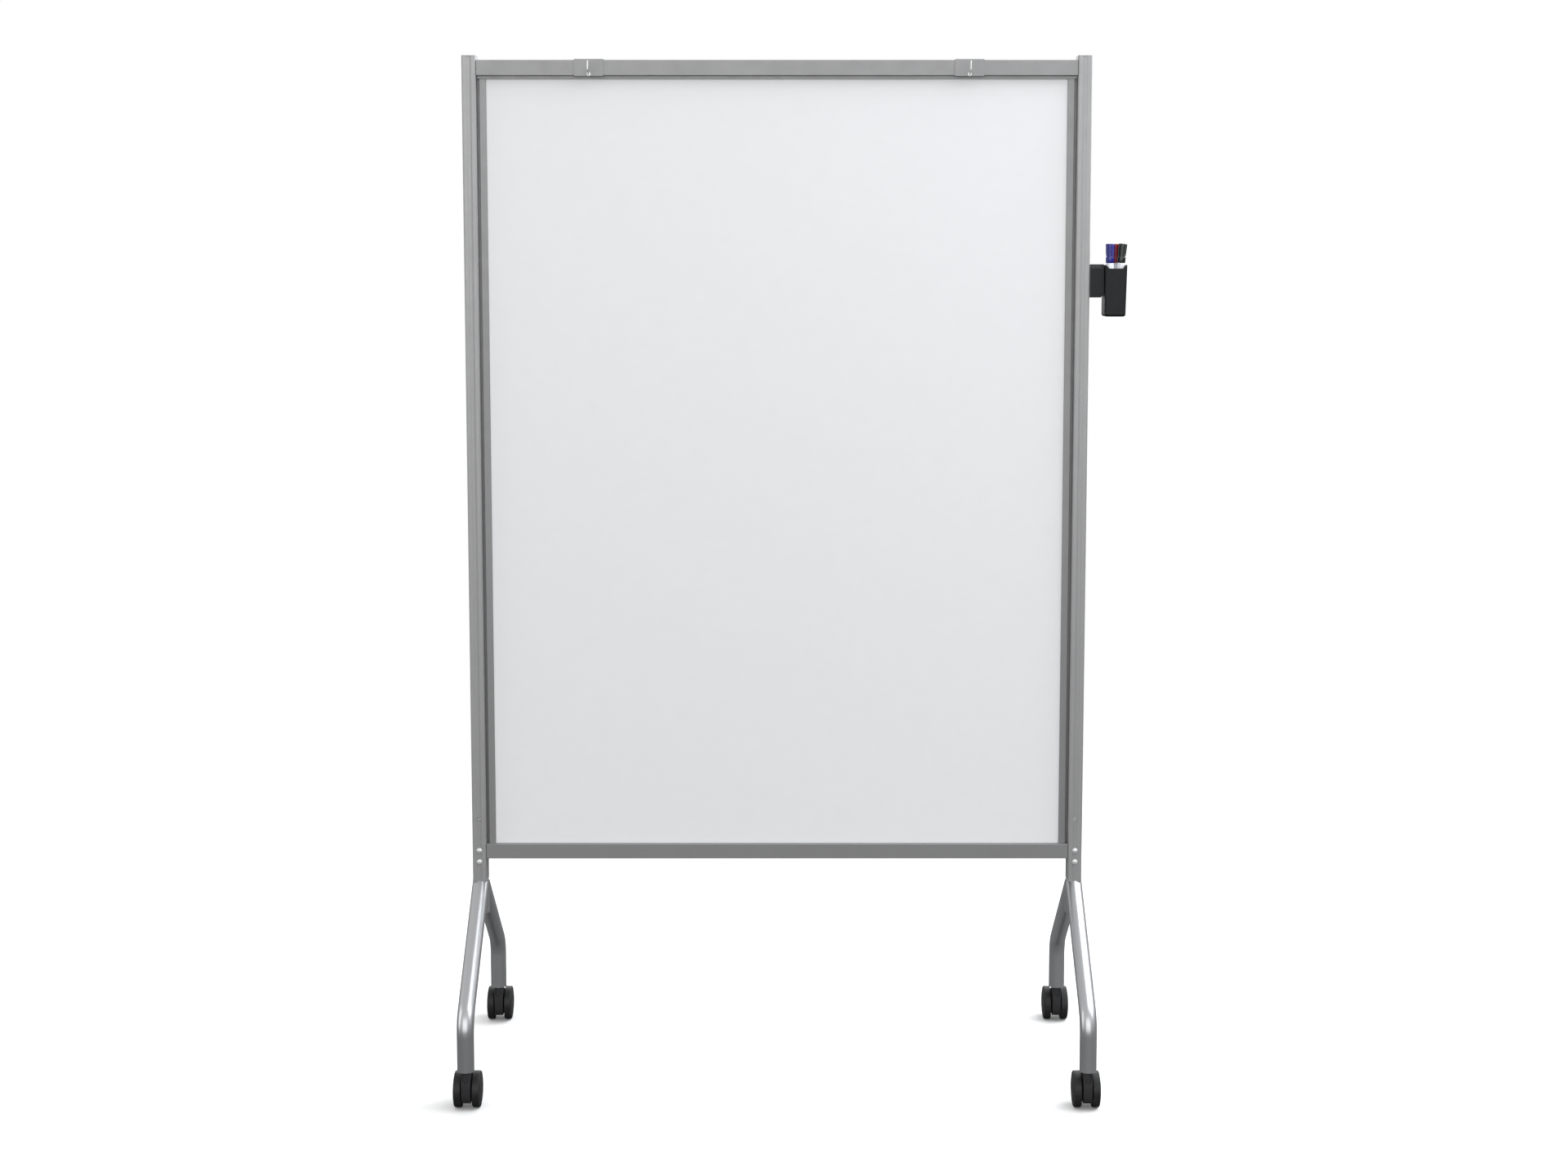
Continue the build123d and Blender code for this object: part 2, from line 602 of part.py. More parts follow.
def marker_cap():
    """Closed cap over the neck: plain collar, groove, then a ringed grip."""
    low = BARREL_LENGTH + SLIDE_GAP
    cap = Pos(0, 0, low) * extrude(Circle(MARKER_CAP_R), CAP_LENGTH)
    cap = chamfer(cap.faces().sort_by(Axis.Z)[-1].edges(), 0.8)
    cap -= rod((0, 0, low), (0, 0, low + CAP_LENGTH - CAP_WALL_TOP), NECK_R + SLIDE_GAP)
    groove = low + COLLAR_LENGTH
    ring = Circle(MARKER_CAP_R + 1) - Circle(MARKER_CAP_R - 0.8)
    cap -= Pos(0, 0, groove) * extrude(ring, 1.4)
    thin = Circle(MARKER_CAP_R + 1) - Circle(MARKER_CAP_R - 0.3)
    height = groove + 1.4 + RING_PITCH
    while height < low + CAP_LENGTH - 2:
        cap -= Pos(0, 0, height) * extrude(thin, 0.9)
        height += RING_PITCH
    return cap


# ---- Assembly ----------------------------------------------------------------------------------
nodes = {
    "top_rail": rail(TOP_RAIL_TOP, lip=LIP_DEPTH, upside_down=True),
    "bottom_rail": rail(BOTTOM_RAIL_BOTTOM),
    "rail_blocks": rail_blocks(),
    "rail_screws": rail_screws(),
    "panel_core": panel_layer(-CORE_THICKNESS / 2, CORE_THICKNESS / 2),
    "front_writing_sheet": panel_layer(-PANEL_HALF, -CORE_THICKNESS / 2),
    "rear_writing_sheet": panel_layer(CORE_THICKNESS / 2, PANEL_HALF),
    "trim_bottom": level_trim(TRIM_LOW, closed_below=True),
    "trim_top": level_trim(TRIM_HIGH, closed_below=False),
    "leg_bolts": leg_bolts(),
    "leg_nuts": leg_nuts(),
    "spigot_screws": spigot_screws(),
    "stem_sockets": stem_sockets(),
    "caster_stems": caster_stems(),
    "holder_pad": holder_pad(),
    "holder_bracket": holder_bracket(),
    "pen_cup": pen_cup(),
}

for side_name, side in SIDES.items():
    nodes[f"post_{side_name}"] = post(side)
    nodes[f"post_cap_{side_name}"] = post_cap(side)
    nodes[f"trim_{side_name}"] = side_trim(side)
    nodes[f"leg_stub_{side_name}"] = leg_stub(side)
    nodes[f"clip_saddle_{side_name}"] = clip_saddle(CLIP_X[side_name])
    nodes[f"clip_hook_{side_name}"] = clip_hook(CLIP_X[side_name])
    for end_name, end in ENDS.items():
        corner = f"{end_name}_{side_name}"
        has_brake = end_name == "front"
        place = Pos(side * POST_X, end * LEG_REACH, 0)
        nodes[f"leg_tube_{corner}"] = leg_tube(side, end)
        nodes[f"caster_hood_{corner}"] = place * caster_hood(has_brake)
        nodes[f"caster_axle_{corner}"] = place * caster_axle()
        nodes[f"wheel_outer_{corner}"] = place * caster_wheel(side)
        nodes[f"wheel_inner_{corner}"] = place * caster_wheel(-side)
        if has_brake:
            nodes[f"brake_lever_{corner}"] = place * brake_lever()

for colour in MARKERS:
    nodes[f"marker_barrel_{colour}"] = marker_place(colour) * marker_barrel()
    nodes[f"marker_cap_{colour}"] = marker_place(colour) * marker_cap()

os.makedirs("parts", exist_ok=True)
for name, shape in nodes.items():
    export_step(Pos(-CENTRE_X, -CENTRE_Y, 0) * shape, f"parts/{name}.step")
print(len(nodes), "nodes; board centre at", (-CENTRE_X, -CENTRE_Y))
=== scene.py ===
import bmesh
import bpy
import json
from math import atan2, cos, degrees, pi, radians, sin, sqrt, tan
from mathutils import Matrix, Vector


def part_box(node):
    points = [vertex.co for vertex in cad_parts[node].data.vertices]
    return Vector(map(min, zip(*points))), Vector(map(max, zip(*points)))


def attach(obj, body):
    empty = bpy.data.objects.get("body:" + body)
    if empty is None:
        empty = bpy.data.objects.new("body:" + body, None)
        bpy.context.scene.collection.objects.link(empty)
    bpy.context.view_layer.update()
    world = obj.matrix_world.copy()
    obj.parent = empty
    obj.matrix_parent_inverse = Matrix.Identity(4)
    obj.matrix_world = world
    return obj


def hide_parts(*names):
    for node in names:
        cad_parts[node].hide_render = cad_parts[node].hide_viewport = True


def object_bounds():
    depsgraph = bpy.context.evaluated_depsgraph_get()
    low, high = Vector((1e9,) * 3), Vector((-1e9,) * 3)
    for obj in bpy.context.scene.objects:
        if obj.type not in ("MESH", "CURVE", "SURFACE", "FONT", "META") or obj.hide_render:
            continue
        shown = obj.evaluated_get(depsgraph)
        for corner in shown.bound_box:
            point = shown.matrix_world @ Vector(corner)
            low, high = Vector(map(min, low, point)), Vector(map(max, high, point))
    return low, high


# Looks of a two-sided rolling whiteboard. Metres, +Z up, the front face looks towards -Y.

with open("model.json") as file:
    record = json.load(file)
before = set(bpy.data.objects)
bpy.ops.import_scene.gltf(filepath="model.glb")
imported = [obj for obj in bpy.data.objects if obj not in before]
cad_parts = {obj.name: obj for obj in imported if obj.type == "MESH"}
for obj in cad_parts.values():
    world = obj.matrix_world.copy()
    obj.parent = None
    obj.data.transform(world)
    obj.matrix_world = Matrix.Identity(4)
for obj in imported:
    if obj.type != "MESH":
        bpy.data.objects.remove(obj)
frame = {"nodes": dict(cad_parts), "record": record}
cad_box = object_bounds()

MM = 0.001
BODY_OF = {n: body for body, nodes in frame["record"]["behaviour"]["bodies"].items() for n in nodes}
SLOT_OF = {part["node"]: part["material_slot"] for part in frame["record"]["subparts"]}
SIDES = {"left": -1, "right": 1}
ENDS = {"front": -1, "rear": 1}

POST_LOW, POST_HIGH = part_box("post_left")
BOARD_Y = (POST_LOW.y + POST_HIGH.y) / 2
BOARD_X = sum(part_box(f"post_{side}")[corner].x for side in SIDES for corner in (0, 1)) / 4
FLOOR_Z = cad_box[0].z

MIX_A, MIX_B, MIX_RESULT = 6, 7, 2      # colour sockets of a Mix node


# ---- Materials ---------------------------------------------------------------------------------
class Finish:
    """A Principled material whose pattern follows the object's own coordinates."""

    def __init__(self, name, colour, roughness, metallic=0.0, **sockets):
        self.material = bpy.data.materials.new(name)
        self.material.use_nodes = True
        self.tree = self.material.node_tree
        self.shader = self.tree.nodes["Principled BSDF"]
        self.colour = colour
        self.roughness = roughness
        self.shader.inputs["Base Color"].default_value = (*colour, 1)
        self.shader.inputs["Roughness"].default_value = roughness
        self.shader.inputs["Metallic"].default_value = metallic
        for socket, value in sockets.items():
            self.shader.inputs[socket.replace("_", " ")].default_value = value
        self.coordinates = self.node("ShaderNodeTexCoord").outputs["Object"]

    def node(self, kind, **values):
        """New shader node with its properties set."""
        made = self.tree.nodes.new(kind)
        for name, value in values.items():
            setattr(made, name, value)
        return made

    def join(self, out, into):
        """Links an output to an input."""
        self.tree.links.new(out, into)

    def noise(self, grain, detail=3.0, stretch=(1, 1, 1), rough=0.5):
        """Noise with features about grain metres across, stretched along an axis if wanted."""
        mapping = self.node("ShaderNodeMapping")
        mapping.inputs["Scale"].default_value = [1 / (grain * s) for s in stretch]
        self.join(self.coordinates, mapping.inputs["Vector"])
        noise = self.node("ShaderNodeTexNoise")
        noise.inputs["Scale"].default_value = 1.0
        noise.inputs["Detail"].default_value = detail
        noise.inputs["Roughness"].default_value = rough
        self.join(mapping.outputs["Vector"], noise.inputs["Vector"])
        return noise.outputs["Fac"]

    def cells(self, size):
        """Rounded cells about size metres across, as in a moulded or leather-grained skin."""
        mapping = self.node("ShaderNodeMapping")
        mapping.inputs["Scale"].default_value = [1 / size] * 3
        self.join(self.coordinates, mapping.inputs["Vector"])
        cells = self.node("ShaderNodeTexVoronoi", feature="SMOOTH_F1")
        cells.inputs["Scale"].default_value = 1.0
        self.join(mapping.outputs["Vector"], cells.inputs["Vector"])
        return cells.outputs["Distance"]

    def spread(self, value, low, high, start=0.3, end=0.7):
        """Maps a pattern's middle range onto low to high."""
        remap = self.node("ShaderNodeMapRange")
        remap.inputs["From Min"].default_value = start
        remap.inputs["From Max"].default_value = end
        remap.inputs["To Min"].default_value = low
        remap.inputs["To Max"].default_value = high
        self.join(value, remap.inputs["Value"])
        return remap.outputs["Result"]

    def shades(self, value, amount, start=0.3, end=0.7):
        """Lighter and darker versions of the base colour, by amount each way."""
        mix = self.node("ShaderNodeMix", data_type="RGBA")
        self.join(self.spread(value, 0, 1, start, end), mix.inputs[0])
        mix.inputs[MIX_A].default_value = (*[c * (1 - amount) for c in self.colour], 1)
        mix.inputs[MIX_B].default_value = (*[c * (1 + amount) for c in self.colour], 1)
        self.join(mix.outputs[MIX_RESULT], self.shader.inputs["Base Color"])
        return self

    def tint(self, value, other, start=0.3, end=0.7):
        """Blends the shaded base colour towards another one where the pattern is high."""
        mix = self.node("ShaderNodeMix", data_type="RGBA")
        self.join(self.spread(value, 0, 1, start, end), mix.inputs[0])
        self.join(self.shader.inputs["Base Color"].links[0].from_socket, mix.inputs[MIX_A])
        mix.inputs[MIX_B].default_value = (*other, 1)
        self.join(mix.outputs[MIX_RESULT], self.shader.inputs["Base Color"])
        return self

    def gloss(self, value, amount, start=0.3, end=0.7):
        """Rougher and smoother patches, by amount each way."""
        low, high = max(self.roughness - amount, 0.02), self.roughness + amount
        self.join(self.spread(value, low, high, start, end), self.shader.inputs["Roughness"])
        return self

    def relief(self, value, depth, strength=1.0):
        """Bump of the given depth in metres, on top of any earlier one."""
        bump = self.node("ShaderNodeBump")
        bump.inputs["Strength"].default_value = strength
        bump.inputs["Distance"].default_value = depth
        before = self.shader.inputs["Normal"].links
        if before:
            self.join(before[0].from_socket, bump.inputs["Normal"])
        self.join(value, bump.inputs["Height"])
        self.join(bump.outputs["Normal"], self.shader.inputs["Normal"])
        return self


def frame_grey(name, shade):
    """Satin grey powder coat with fine metal flake and a faint orange peel."""
    f = Finish(name, (shade, shade, 1.01 * shade), 0.46, 0.58)
    f.shades(f.noise(0.9 * MM, 2.0), 0.07)
    f.gloss(f.noise(24 * MM, 3.0), 0.04)
    f.relief(f.noise(1.6 * MM, 2.0), 0.05 * MM, 0.5)
    return f


def leg_silver():
    """Gloss silver enamel on bent tube."""
    f = Finish("leg_silver", (0.45, 0.455, 0.465), 0.3, 0.85, Coat_Weight=0.2, Coat_Roughness=0.15)
    f.shades(f.noise(0.6 * MM, 2.0), 0.03)
    f.gloss(f.noise(40 * MM, 3.0), 0.02)
    f.relief(f.noise(9.0 * MM, 2.0), 0.02 * MM, 0.2)
    return f


def steel():
    """Zinc-plated steel, slightly mottled."""
    f = Finish("zinc_plate", (0.62, 0.62, 0.61), 0.34, 1.0)
    f.shades(f.noise(1.5 * MM, 4.0), 0.12)
    f.gloss(f.noise(4 * MM, 4.0), 0.08)
    f.relief(f.noise(0.5 * MM, 2.0), 0.02 * MM, 0.6)
    return f


def bolt_steel():
    """Dull bright zinc on domed heads."""
    f = Finish("bolt_zinc", (0.7, 0.7, 0.7), 0.5, 0.55)
    f.shades(f.noise(0.8 * MM, 4.0), 0.1)
    f.gloss(f.noise(3 * MM, 4.0), 0.06)
    f.relief(f.noise(0.4 * MM, 2.0), 0.015 * MM, 0.5)
    return f


def white_enamel():
    """Gloss white enamel with a faint waviness and the slight haze that erasing leaves."""
    f = Finish("white_enamel", (0.835, 0.845, 0.857), 0.3, 0.0, Specular_IOR_Level=0.35)
    f.shades(f.noise(28 * MM, 5.0, (1.3, 1, 1), 0.6), 0.008)
    f.gloss(f.noise(120 * MM, 3.0, (2.0, 1, 1)), 0.015, 0.2, 0.8)
    f.relief(f.noise(3.0 * MM, 2.0), 0.01 * MM, 0.3)
    return f


def core_board():
    """Raw fibreboard of the panel's core."""
    f = Finish("core_board", (0.42, 0.3, 0.19), 0.85)
    f.shades(f.noise(1.2 * MM, 5.0, (3, 1, 3), 0.7), 0.25)
    f.relief(f.noise(0.8 * MM, 4.0), 0.15 * MM, 0.8)
    return f


def cast_block():
    """Rough cast metal of the rail blocks."""
    f = Finish("cast_block", (0.55, 0.55, 0.55), 0.55, 1.0)
    f.shades(f.noise(2 * MM, 4.0), 0.12)
    f.relief(f.noise(0.9 * MM, 3.0), 0.1 * MM, 0.7)
    return f


def moulded(name, colour, roughness, grain, **sockets):
    """Textured moulded plastic: fine cells, slight mottling and uneven sheen."""
    f = Finish(name, colour, roughness, **sockets)
    f.shades(f.noise(6 * MM, 4.0), 0.1)
    f.gloss(f.noise(9 * MM, 3.0), 0.05)
    f.relief(f.cells(grain), 0.06 * MM, 0.45)
    f.relief(f.noise(0.35 * MM, 2.0), 0.02 * MM, 0.5)
    return f


def rubber():
    """Dull black tread with a little grey dust on it."""
    f = Finish("wheel_black", (0.016, 0.016, 0.0165), 0.48, Specular_IOR_Level=0.28)
    f.shades(f.noise(4 * MM, 4.0), 0.18)
    f.tint(f.noise(14 * MM, 5.0, rough=0.65), (0.034, 0.033, 0.032), 0.52, 0.85)
    f.gloss(f.noise(7 * MM, 3.0), 0.08)
    f.relief(f.noise(0.6 * MM, 2.0), 0.04 * MM, 0.5)
    return f


def polished(name, colour, roughness=0.16):
    """Gloss injection-moulded plastic with faint flow marks."""
    f = Finish(name, colour, roughness, Coat_Weight=0.3, Coat_Roughness=0.06)
    f.shades(f.noise(5 * MM, 3.0, (1, 1, 3)), 0.08)
    f.gloss(f.noise(3 * MM, 3.0), 0.04)
    f.relief(f.noise(2.5 * MM, 2.0), 0.02 * MM, 0.3)
    return f


FINISHES = {
    "frame_grey": frame_grey("frame_grey", 0.285),
    "posts": frame_grey("post_grey", 0.365),
    "leg_silver": leg_silver(),
    "steel": steel(),
    "bolts": bolt_steel(),
    "white_enamel": white_enamel(),
    "core_board": core_board(),
    "cast_block": cast_block(),
    "black_plastic": moulded("black_plastic", (0.026, 0.026, 0.028), 0.42, 0.7 * MM),
    "wheel_black": rubber(),
    "cup_plastic": moulded(
        "cup_plastic", (0.0105, 0.012, 0.013), 0.34, 0.5 * MM, Specular_IOR_Level=0.2
    ),
    "marker_white": polished("marker_white", (0.84, 0.86, 0.9)),
    "cap_blue": polished("cap_blue", (0.012, 0.014, 0.2)),
    "cap_red": polished("cap_red", (0.26, 0.006, 0.014)),
    "cap_black": polished("cap_black", (0.012, 0.016, 0.014)),
}


def dress(piece, finish):
    """Puts one finish on the whole piece."""
    material = FINISHES[finish].material
    if not piece.material_slots:
        piece.data.materials.append(material)
    for place in piece.material_slots:
        place.material = material


def stand_for(piece, node, finish=None):
    """The piece takes the place of a CAD node, rides on its body and wears its finish."""
    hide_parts(node)
    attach(piece, BODY_OF[node])
    dress(piece, finish or SLOT_OF[node])
    steady = piece.modifiers.new("normals", "WEIGHTED_NORMAL")
    steady.keep_sharp = True
    bake(piece)


# ---- Mesh helpers ------------------------------------------------------------------------------
def in_mm(*points):
    """The same points in metres."""
    return [(a * MM, b * MM) for a, b in points]


def rectangle(left, right, low, high):
    """Corners of a rectangle in order round it."""
    return [(left, low), (right, low), (right, high), (left, high)]


def arc(centre, radius, start, end, steps):
    """Points on an arc, angles in degrees, both ends included."""
    turns = [radians(start + (end - start) * i / steps) for i in range(steps + 1)]
    return [(centre[0] + radius * cos(a), centre[1] + radius * sin(a)) for a in turns]


def rounded_rectangle(half_x, half_y, radius, steps, between):
    """Outline with so many steps round each corner and points between corners."""
    corners = []
    for corner, (sx, sy) in enumerate(((1, 1), (-1, 1), (-1, -1), (1, -1))):
        centre = (sx * (half_x - radius), sy * (half_y - radius))
        corners.append(arc(centre, radius, 90 * corner, 90 * corner + 90, steps))
    points = []
    for turn, after in zip(corners, corners[1:] + corners[:1]):
        start, end = Vector(turn[-1]), Vector(after[0])
        points += turn + [tuple(start.lerp(end, (k + 1) / (between + 1))) for k in range(between)]
    return points


def rings_mesh(rings, looped=False):
    """Bmesh through rings of equal length, capped at both ends or looped back to the first."""
    bm = bmesh.new()
    rows = [[bm.verts.new(point) for point in ring] for ring in rings]
    count = len(rings[0])
    for low, high in zip(rows, rows[1:] + rows[:1] if looped else rows[1:]):
        for i in range(count):
            j = (i + 1) % count
            bm.faces.new((low[i], low[j], high[j], high[i]))
    if not looped:
        bm.faces.new(reversed(rows[0]))
        bm.faces.new(rows[-1])
    return bm


def lathe(profile, count=48):
    """Turns (radius, height) points about Z. A radius of zero makes a pole."""
    bm = bmesh.new()
    rows = []
    for radius, height in profile:
        if radius == 0:
            rows.append([bm.verts.new((0, 0, height))])
            continue
        turns = [2 * pi * i / count for i in range(count)]
        rows.append([bm.verts.new((radius * cos(a), radius * sin(a), height)) for a in turns])
    for low, high in zip(rows, rows[1:]):
        for i in range(count):
            j = (i + 1) % count
            below = low[i % len(low)], low[j % len(low)]
            above = high[j % len(high)], high[i % len(high)]
            unique = list(dict.fromkeys(below + above))
            if len(unique) > 2:
                bm.faces.new(unique)
    return bm


def rod(radius, low, high, count=48):
    """Plain cylinder about Z."""
    return lathe([(0, low), (radius, low), (radius, high), (0, high)], count)


def prism(outline, low, high, axis):
    """Outline pulled along an axis: (Y, Z) points for X, (X, Z) for Y and (X, Y) for Z."""
    place = {
        "X": lambda p, d: (d, p[0], p[1]),
        "Y": lambda p, d: (p[0], d, p[1]),
        "Z": lambda p, d: (p[0], p[1], d),
    }[axis]
    return rings_mesh([[place(point, depth) for point in outline] for depth in (low, high)])


def sweep(path, radius, count=40, inner=None):
    """Round bar along a path that stays in a plane of constant X; inner makes it a tube."""
    rings = []
    for i, point in enumerate(path):
        ahead = path[min(i + 1, len(path) - 1)] - path[max(i - 1, 0)]
        across = Vector((1, 0, 0))
        up = ahead.normalized().cross(across)
        turns = [2 * pi * k / count for k in range(count)]
        rings.append([(across * cos(a) + up * sin(a), point) for a in turns])
    outer = [[point + way * radius for way, point in ring] for ring in rings]
    if inner is None:
        return rings_mesh(outer)
    inside = [[point + way * inner for way, point in ring] for ring in rings]
    lip = [[point + way * (radius + inner) / 2 for way, point in rings[-1]]]
    return rings_mesh(outer + lip + inside[::-1], looped=True)


def merge(*parts):
    """One bmesh from several, each a bmesh or a (bmesh, matrix) pair."""
    whole = bmesh.new()
    for part in parts:
        bm, place = part if isinstance(part, tuple) else (part, Matrix.Identity(4))
        mesh = bpy.data.meshes.new("part")
        bm.to_mesh(mesh)
        bm.free()
        mesh.transform(place)
        whole.from_mesh(mesh)
        bpy.data.meshes.remove(mesh)
    return whole


def add(name, bm, sharp=40):
    """Object from a bmesh, smooth except at edges sharper than the angle."""
    bmesh.ops.recalc_face_normals(bm, faces=bm.faces[:])
    mesh = bpy.data.meshes.new(name)
    bm.to_mesh(mesh)
    bm.free()
    piece = bpy.data.objects.new(name, mesh)
    bpy.context.scene.collection.objects.link(piece)
    smooth(piece, sharp)
    return piece


def smooth(piece, sharp):
    """Smooth shading with edges sharper than the angle left crisp."""
    piece.data.polygons.foreach_set("use_smooth", [True] * len(piece.data.polygons))
    piece.data.set_sharp_from_angle(angle=radians(sharp))


def bake(piece):
    """Applies the piece's modifiers to its mesh."""
    graph = bpy.context.evaluated_depsgraph_get()
    mesh = bpy.data.meshes.new_from_object(piece.evaluated_get(graph))
    piece.modifiers.clear()
    piece.data = mesh


def settle(piece, sharp=40):
    """Applies the modifiers and sets the shading of what they made."""
    bake(piece)
    smooth(piece, sharp)


def cut(piece, *cutters, operation="DIFFERENCE"):
    """Cuts each cutter out of the piece, or keeps only what they share."""
    for cutter in cutters:
        change = piece.modifiers.new("cut", "BOOLEAN")
        change.operation = operation
        change.solver = "EXACT"
        change.object = cutter
    settle(piece)
    for cutter in cutters:
        bpy.data.objects.remove(cutter)


def soften(piece, width, segments=3, sharp=30):
    """Rounds the piece's edges, as a mould or a tumbled stamping has them."""
    bevel = piece.modifiers.new("edges", "BEVEL")
    bevel.width = width
    bevel.segments = segments
    bevel.limit_method = "ANGLE"
    bevel.angle_limit = radians(sharp)
    settle(piece, 50)


def take_back(piece):
    """Bmesh of a piece that isn't needed as an object any more."""
    bm = bmesh.new()
    bm.from_mesh(piece.data)
    bpy.data.objects.remove(piece)
    return bm


def along_x(place):
    """Turns a lathe's Z axis onto X."""
    return place @ Matrix.Rotation(pi / 2, 4, "Y")


# ---- Legs --------------------------------------------------------------------------------------
LEG_SLOPE = radians(37.47)
LEG_BEND_R = 55 * MM
LEG_TOP = 348.5 * MM          # where the sloping axis meets the post's axis
LEG_START = 6 * MM            # first point of the tube, down the slope from there
TUBE_WALL = 1.5 * MM
SLOPE_STEPS, BEND_STEPS, FOOT_STEPS = 12, 24, 6


def leg_path(x, y_foot, z_foot, end):
    """Centreline from the stub's axis down the slope, round the bend and down to the foot."""
    reach = abs(y_foot - BOARD_Y)
    knee = LEG_TOP - reach * tan(LEG_SLOPE)
    tangent = LEG_BEND_R * tan((pi / 2 - LEG_SLOPE) / 2)
    along = Vector((0, end * cos(LEG_SLOPE), -sin(LEG_SLOPE)))
    corner = Vector((x, y_foot, knee))
    centre = corner + Vector((0, 0, -tangent)) - Vector((0, end * LEG_BEND_R, 0))
    top = Vector((x, BOARD_Y, LEG_TOP)) + along * LEG_START
    straight = corner - along * tangent
    slope = [top.lerp(straight, i / SLOPE_STEPS) for i in range(SLOPE_STEPS)]
    bend = []
    for i in range(BEND_STEPS + 1):
        turn = (pi / 2 - LEG_SLOPE) * (1 - i / BEND_STEPS)
        bend.append(centre + Vector((0, end * cos(turn), sin(turn))) * LEG_BEND_R)
    last = bend[-1].z
    drop = last - z_foot
    foot = [Vector((x, y_foot, last - drop * i / FOOT_STEPS)) for i in range(1, FOOT_STEPS + 1)]
    return slope + bend + foot


def build_leg(side, end_name):
    """Bent tube, cut away behind the post's face where it laps the post."""
    low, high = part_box(f"leg_tube_{end_name}_{side}")
    end = ENDS[end_name]
    radius = (high.x - low.x) / 2
    y_foot = low.y + radius if end < 0 else high.y - radius
    path = leg_path((low.x + high.x) / 2, y_foot, low.z, end)
    tube = add(f"{end_name}_{side}_leg", sweep(path, radius, 72, radius - TUBE_WALL), 60)
    face = BOARD_Y + end * (POST_HIGH.y - POST_LOW.y) / 2
    inner, ceiling = face - end * 4 * radius, POST_LOW.z + 3 * radius
    above = rectangle(face, inner, POST_LOW.z, ceiling)
    cut(tube, add("under_post", prism(above, low.x - radius, high.x + radius, "X")))
    stand_for(tube, f"leg_tube_{end_name}_{side}")


# ---- Casters -----------------------------------------------------------------------------------
WHEEL_R = 31.75 * MM
WHEEL_BORE_R = 3.05 * MM
WHEEL_WEB = 2.6 * MM          # left between the blind bore and the outer face
TREAD_INNER_ROUND = 1.5 * MM
TREAD_OUTER_ROUND = 2.2 * MM
TRAIL = 25 * MM
HOOD_R = 28.5 * MM
HOOD_TOP = 71 * MM
HOOD_BOTTOM = 12.5 * MM
HOOD_FRONT = -10 * MM
HOOD_HALF = 7.8 * MM
POCKET_HALF = 5.8 * MM
POCKET_LOW = 52 * MM
POCKET_DEPTH = 3.6 * MM
STEM_BORE_R = 4.05 * MM
STEM_BORE_LOW = 39 * MM
BRAKE_PIVOT = (42 * MM, 46 * MM)
BRAKE_SLOT_HALF = 4.6 * MM
BRAKE_SLOT_AHEAD = 6.5 * MM
BRAKE_SLOT_BELOW = 8 * MM
BRAKE_PIN_R = 1.5 * MM
BRAKE_ARM_HALF = 4.3 * MM
BRAKE_PAD_HALF = 9 * MM
RIDGE_R = 0.6 * MM
RIDGE_HALF = 7 * MM
PAST_HOOD_Y, PAST_HOOD_Z = 80 * MM, 90 * MM     # where cutters end, clear of the hood


def wheel_profile(width):
    """Half section of a wheel as (radius, height), from the hub's blind bore round to the axis."""
    inner, outer, bore_end = TREAD_INNER_ROUND, TREAD_OUTER_ROUND, width - WHEEL_WEB
    outer_face = [(24.4, 1.0), (23.6, 1.5), (23, 1.0), (20, 0.6), (15, 0.2), (12.4, 0), (11.6, 0)]
    hub_cap = [(10.8, 0.8), (7, 1.0), (3, 0.9), (0, 0.9)]
    points = [(0, bore_end), (WHEEL_BORE_R, bore_end), (WHEEL_BORE_R, 0)]
    points += in_mm((9, 0), (10, 1.5), (23, 1.5), (24, 0))
    points += [(r, h) for h, r in arc((inner, WHEEL_R - inner), inner, 180, 90, 5)]
    points += [(WHEEL_R, h) for h in (4 * MM, 7.5 * MM, width - 4.6 * MM)]
    points += [(r, h) for h, r in arc((width - 4.2 * MM, WHEEL_R - outer), outer, 85, 14, 6)]
    return points + [(r * MM, width - depth * MM) for r, depth in outer_face + hub_cap]


def build_wheel(side, end_name, place):
    """One half of a twin wheel, its dished face turned towards the hood."""
    node = f"wheel_{place}_{end_name}_{side}"
    low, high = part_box(node)
    way = SIDES[side] if place == "outer" else -SIDES[side]
    start = low.x if way > 0 else high.x
    centre = Vector((start, (low.y + high.y) / 2, (low.z + high.z) / 2))
    turned = Matrix.Translation(centre) @ Matrix.Rotation(way * pi / 2, 4, "Y")
    wheel = merge((lathe(wheel_profile(high.x - low.x), 96), turned))
    stand_for(add(f"{end_name}_{side}_{place}_wheel", wheel, 28), node)


def hood_outline():
    """Side view of the hood in (Y from the stem, Z)."""
    drop = WHEEL_R - HOOD_BOTTOM
    reach = sqrt(HOOD_R**2 - drop**2)
    points = arc((TRAIL, WHEEL_R), HOOD_R, -degrees(atan2(drop, reach)), 60, 22)
    points += [(18 * MM, HOOD_TOP - 6.5 * MM), (9 * MM, HOOD_TOP), (HOOD_FRONT, HOOD_TOP)]
    points += in_mm((-10, 60), (-10, 50), (-9.6, 42), (-8.6, 34), (-7.2, 27), (-4.4, 20))
    return points + [(TRAIL - reach, HOOD_BOTTOM)]


def pocket_outline():
    """U shape in (X, Z) with its open end above the hood."""
    above = HOOD_TOP + 9 * MM
    curve = arc((0, POCKET_LOW + POCKET_HALF), POCKET_HALF, 180, 360, 20)
    return curve + [(POCKET_HALF, above), (-POCKET_HALF, above)]


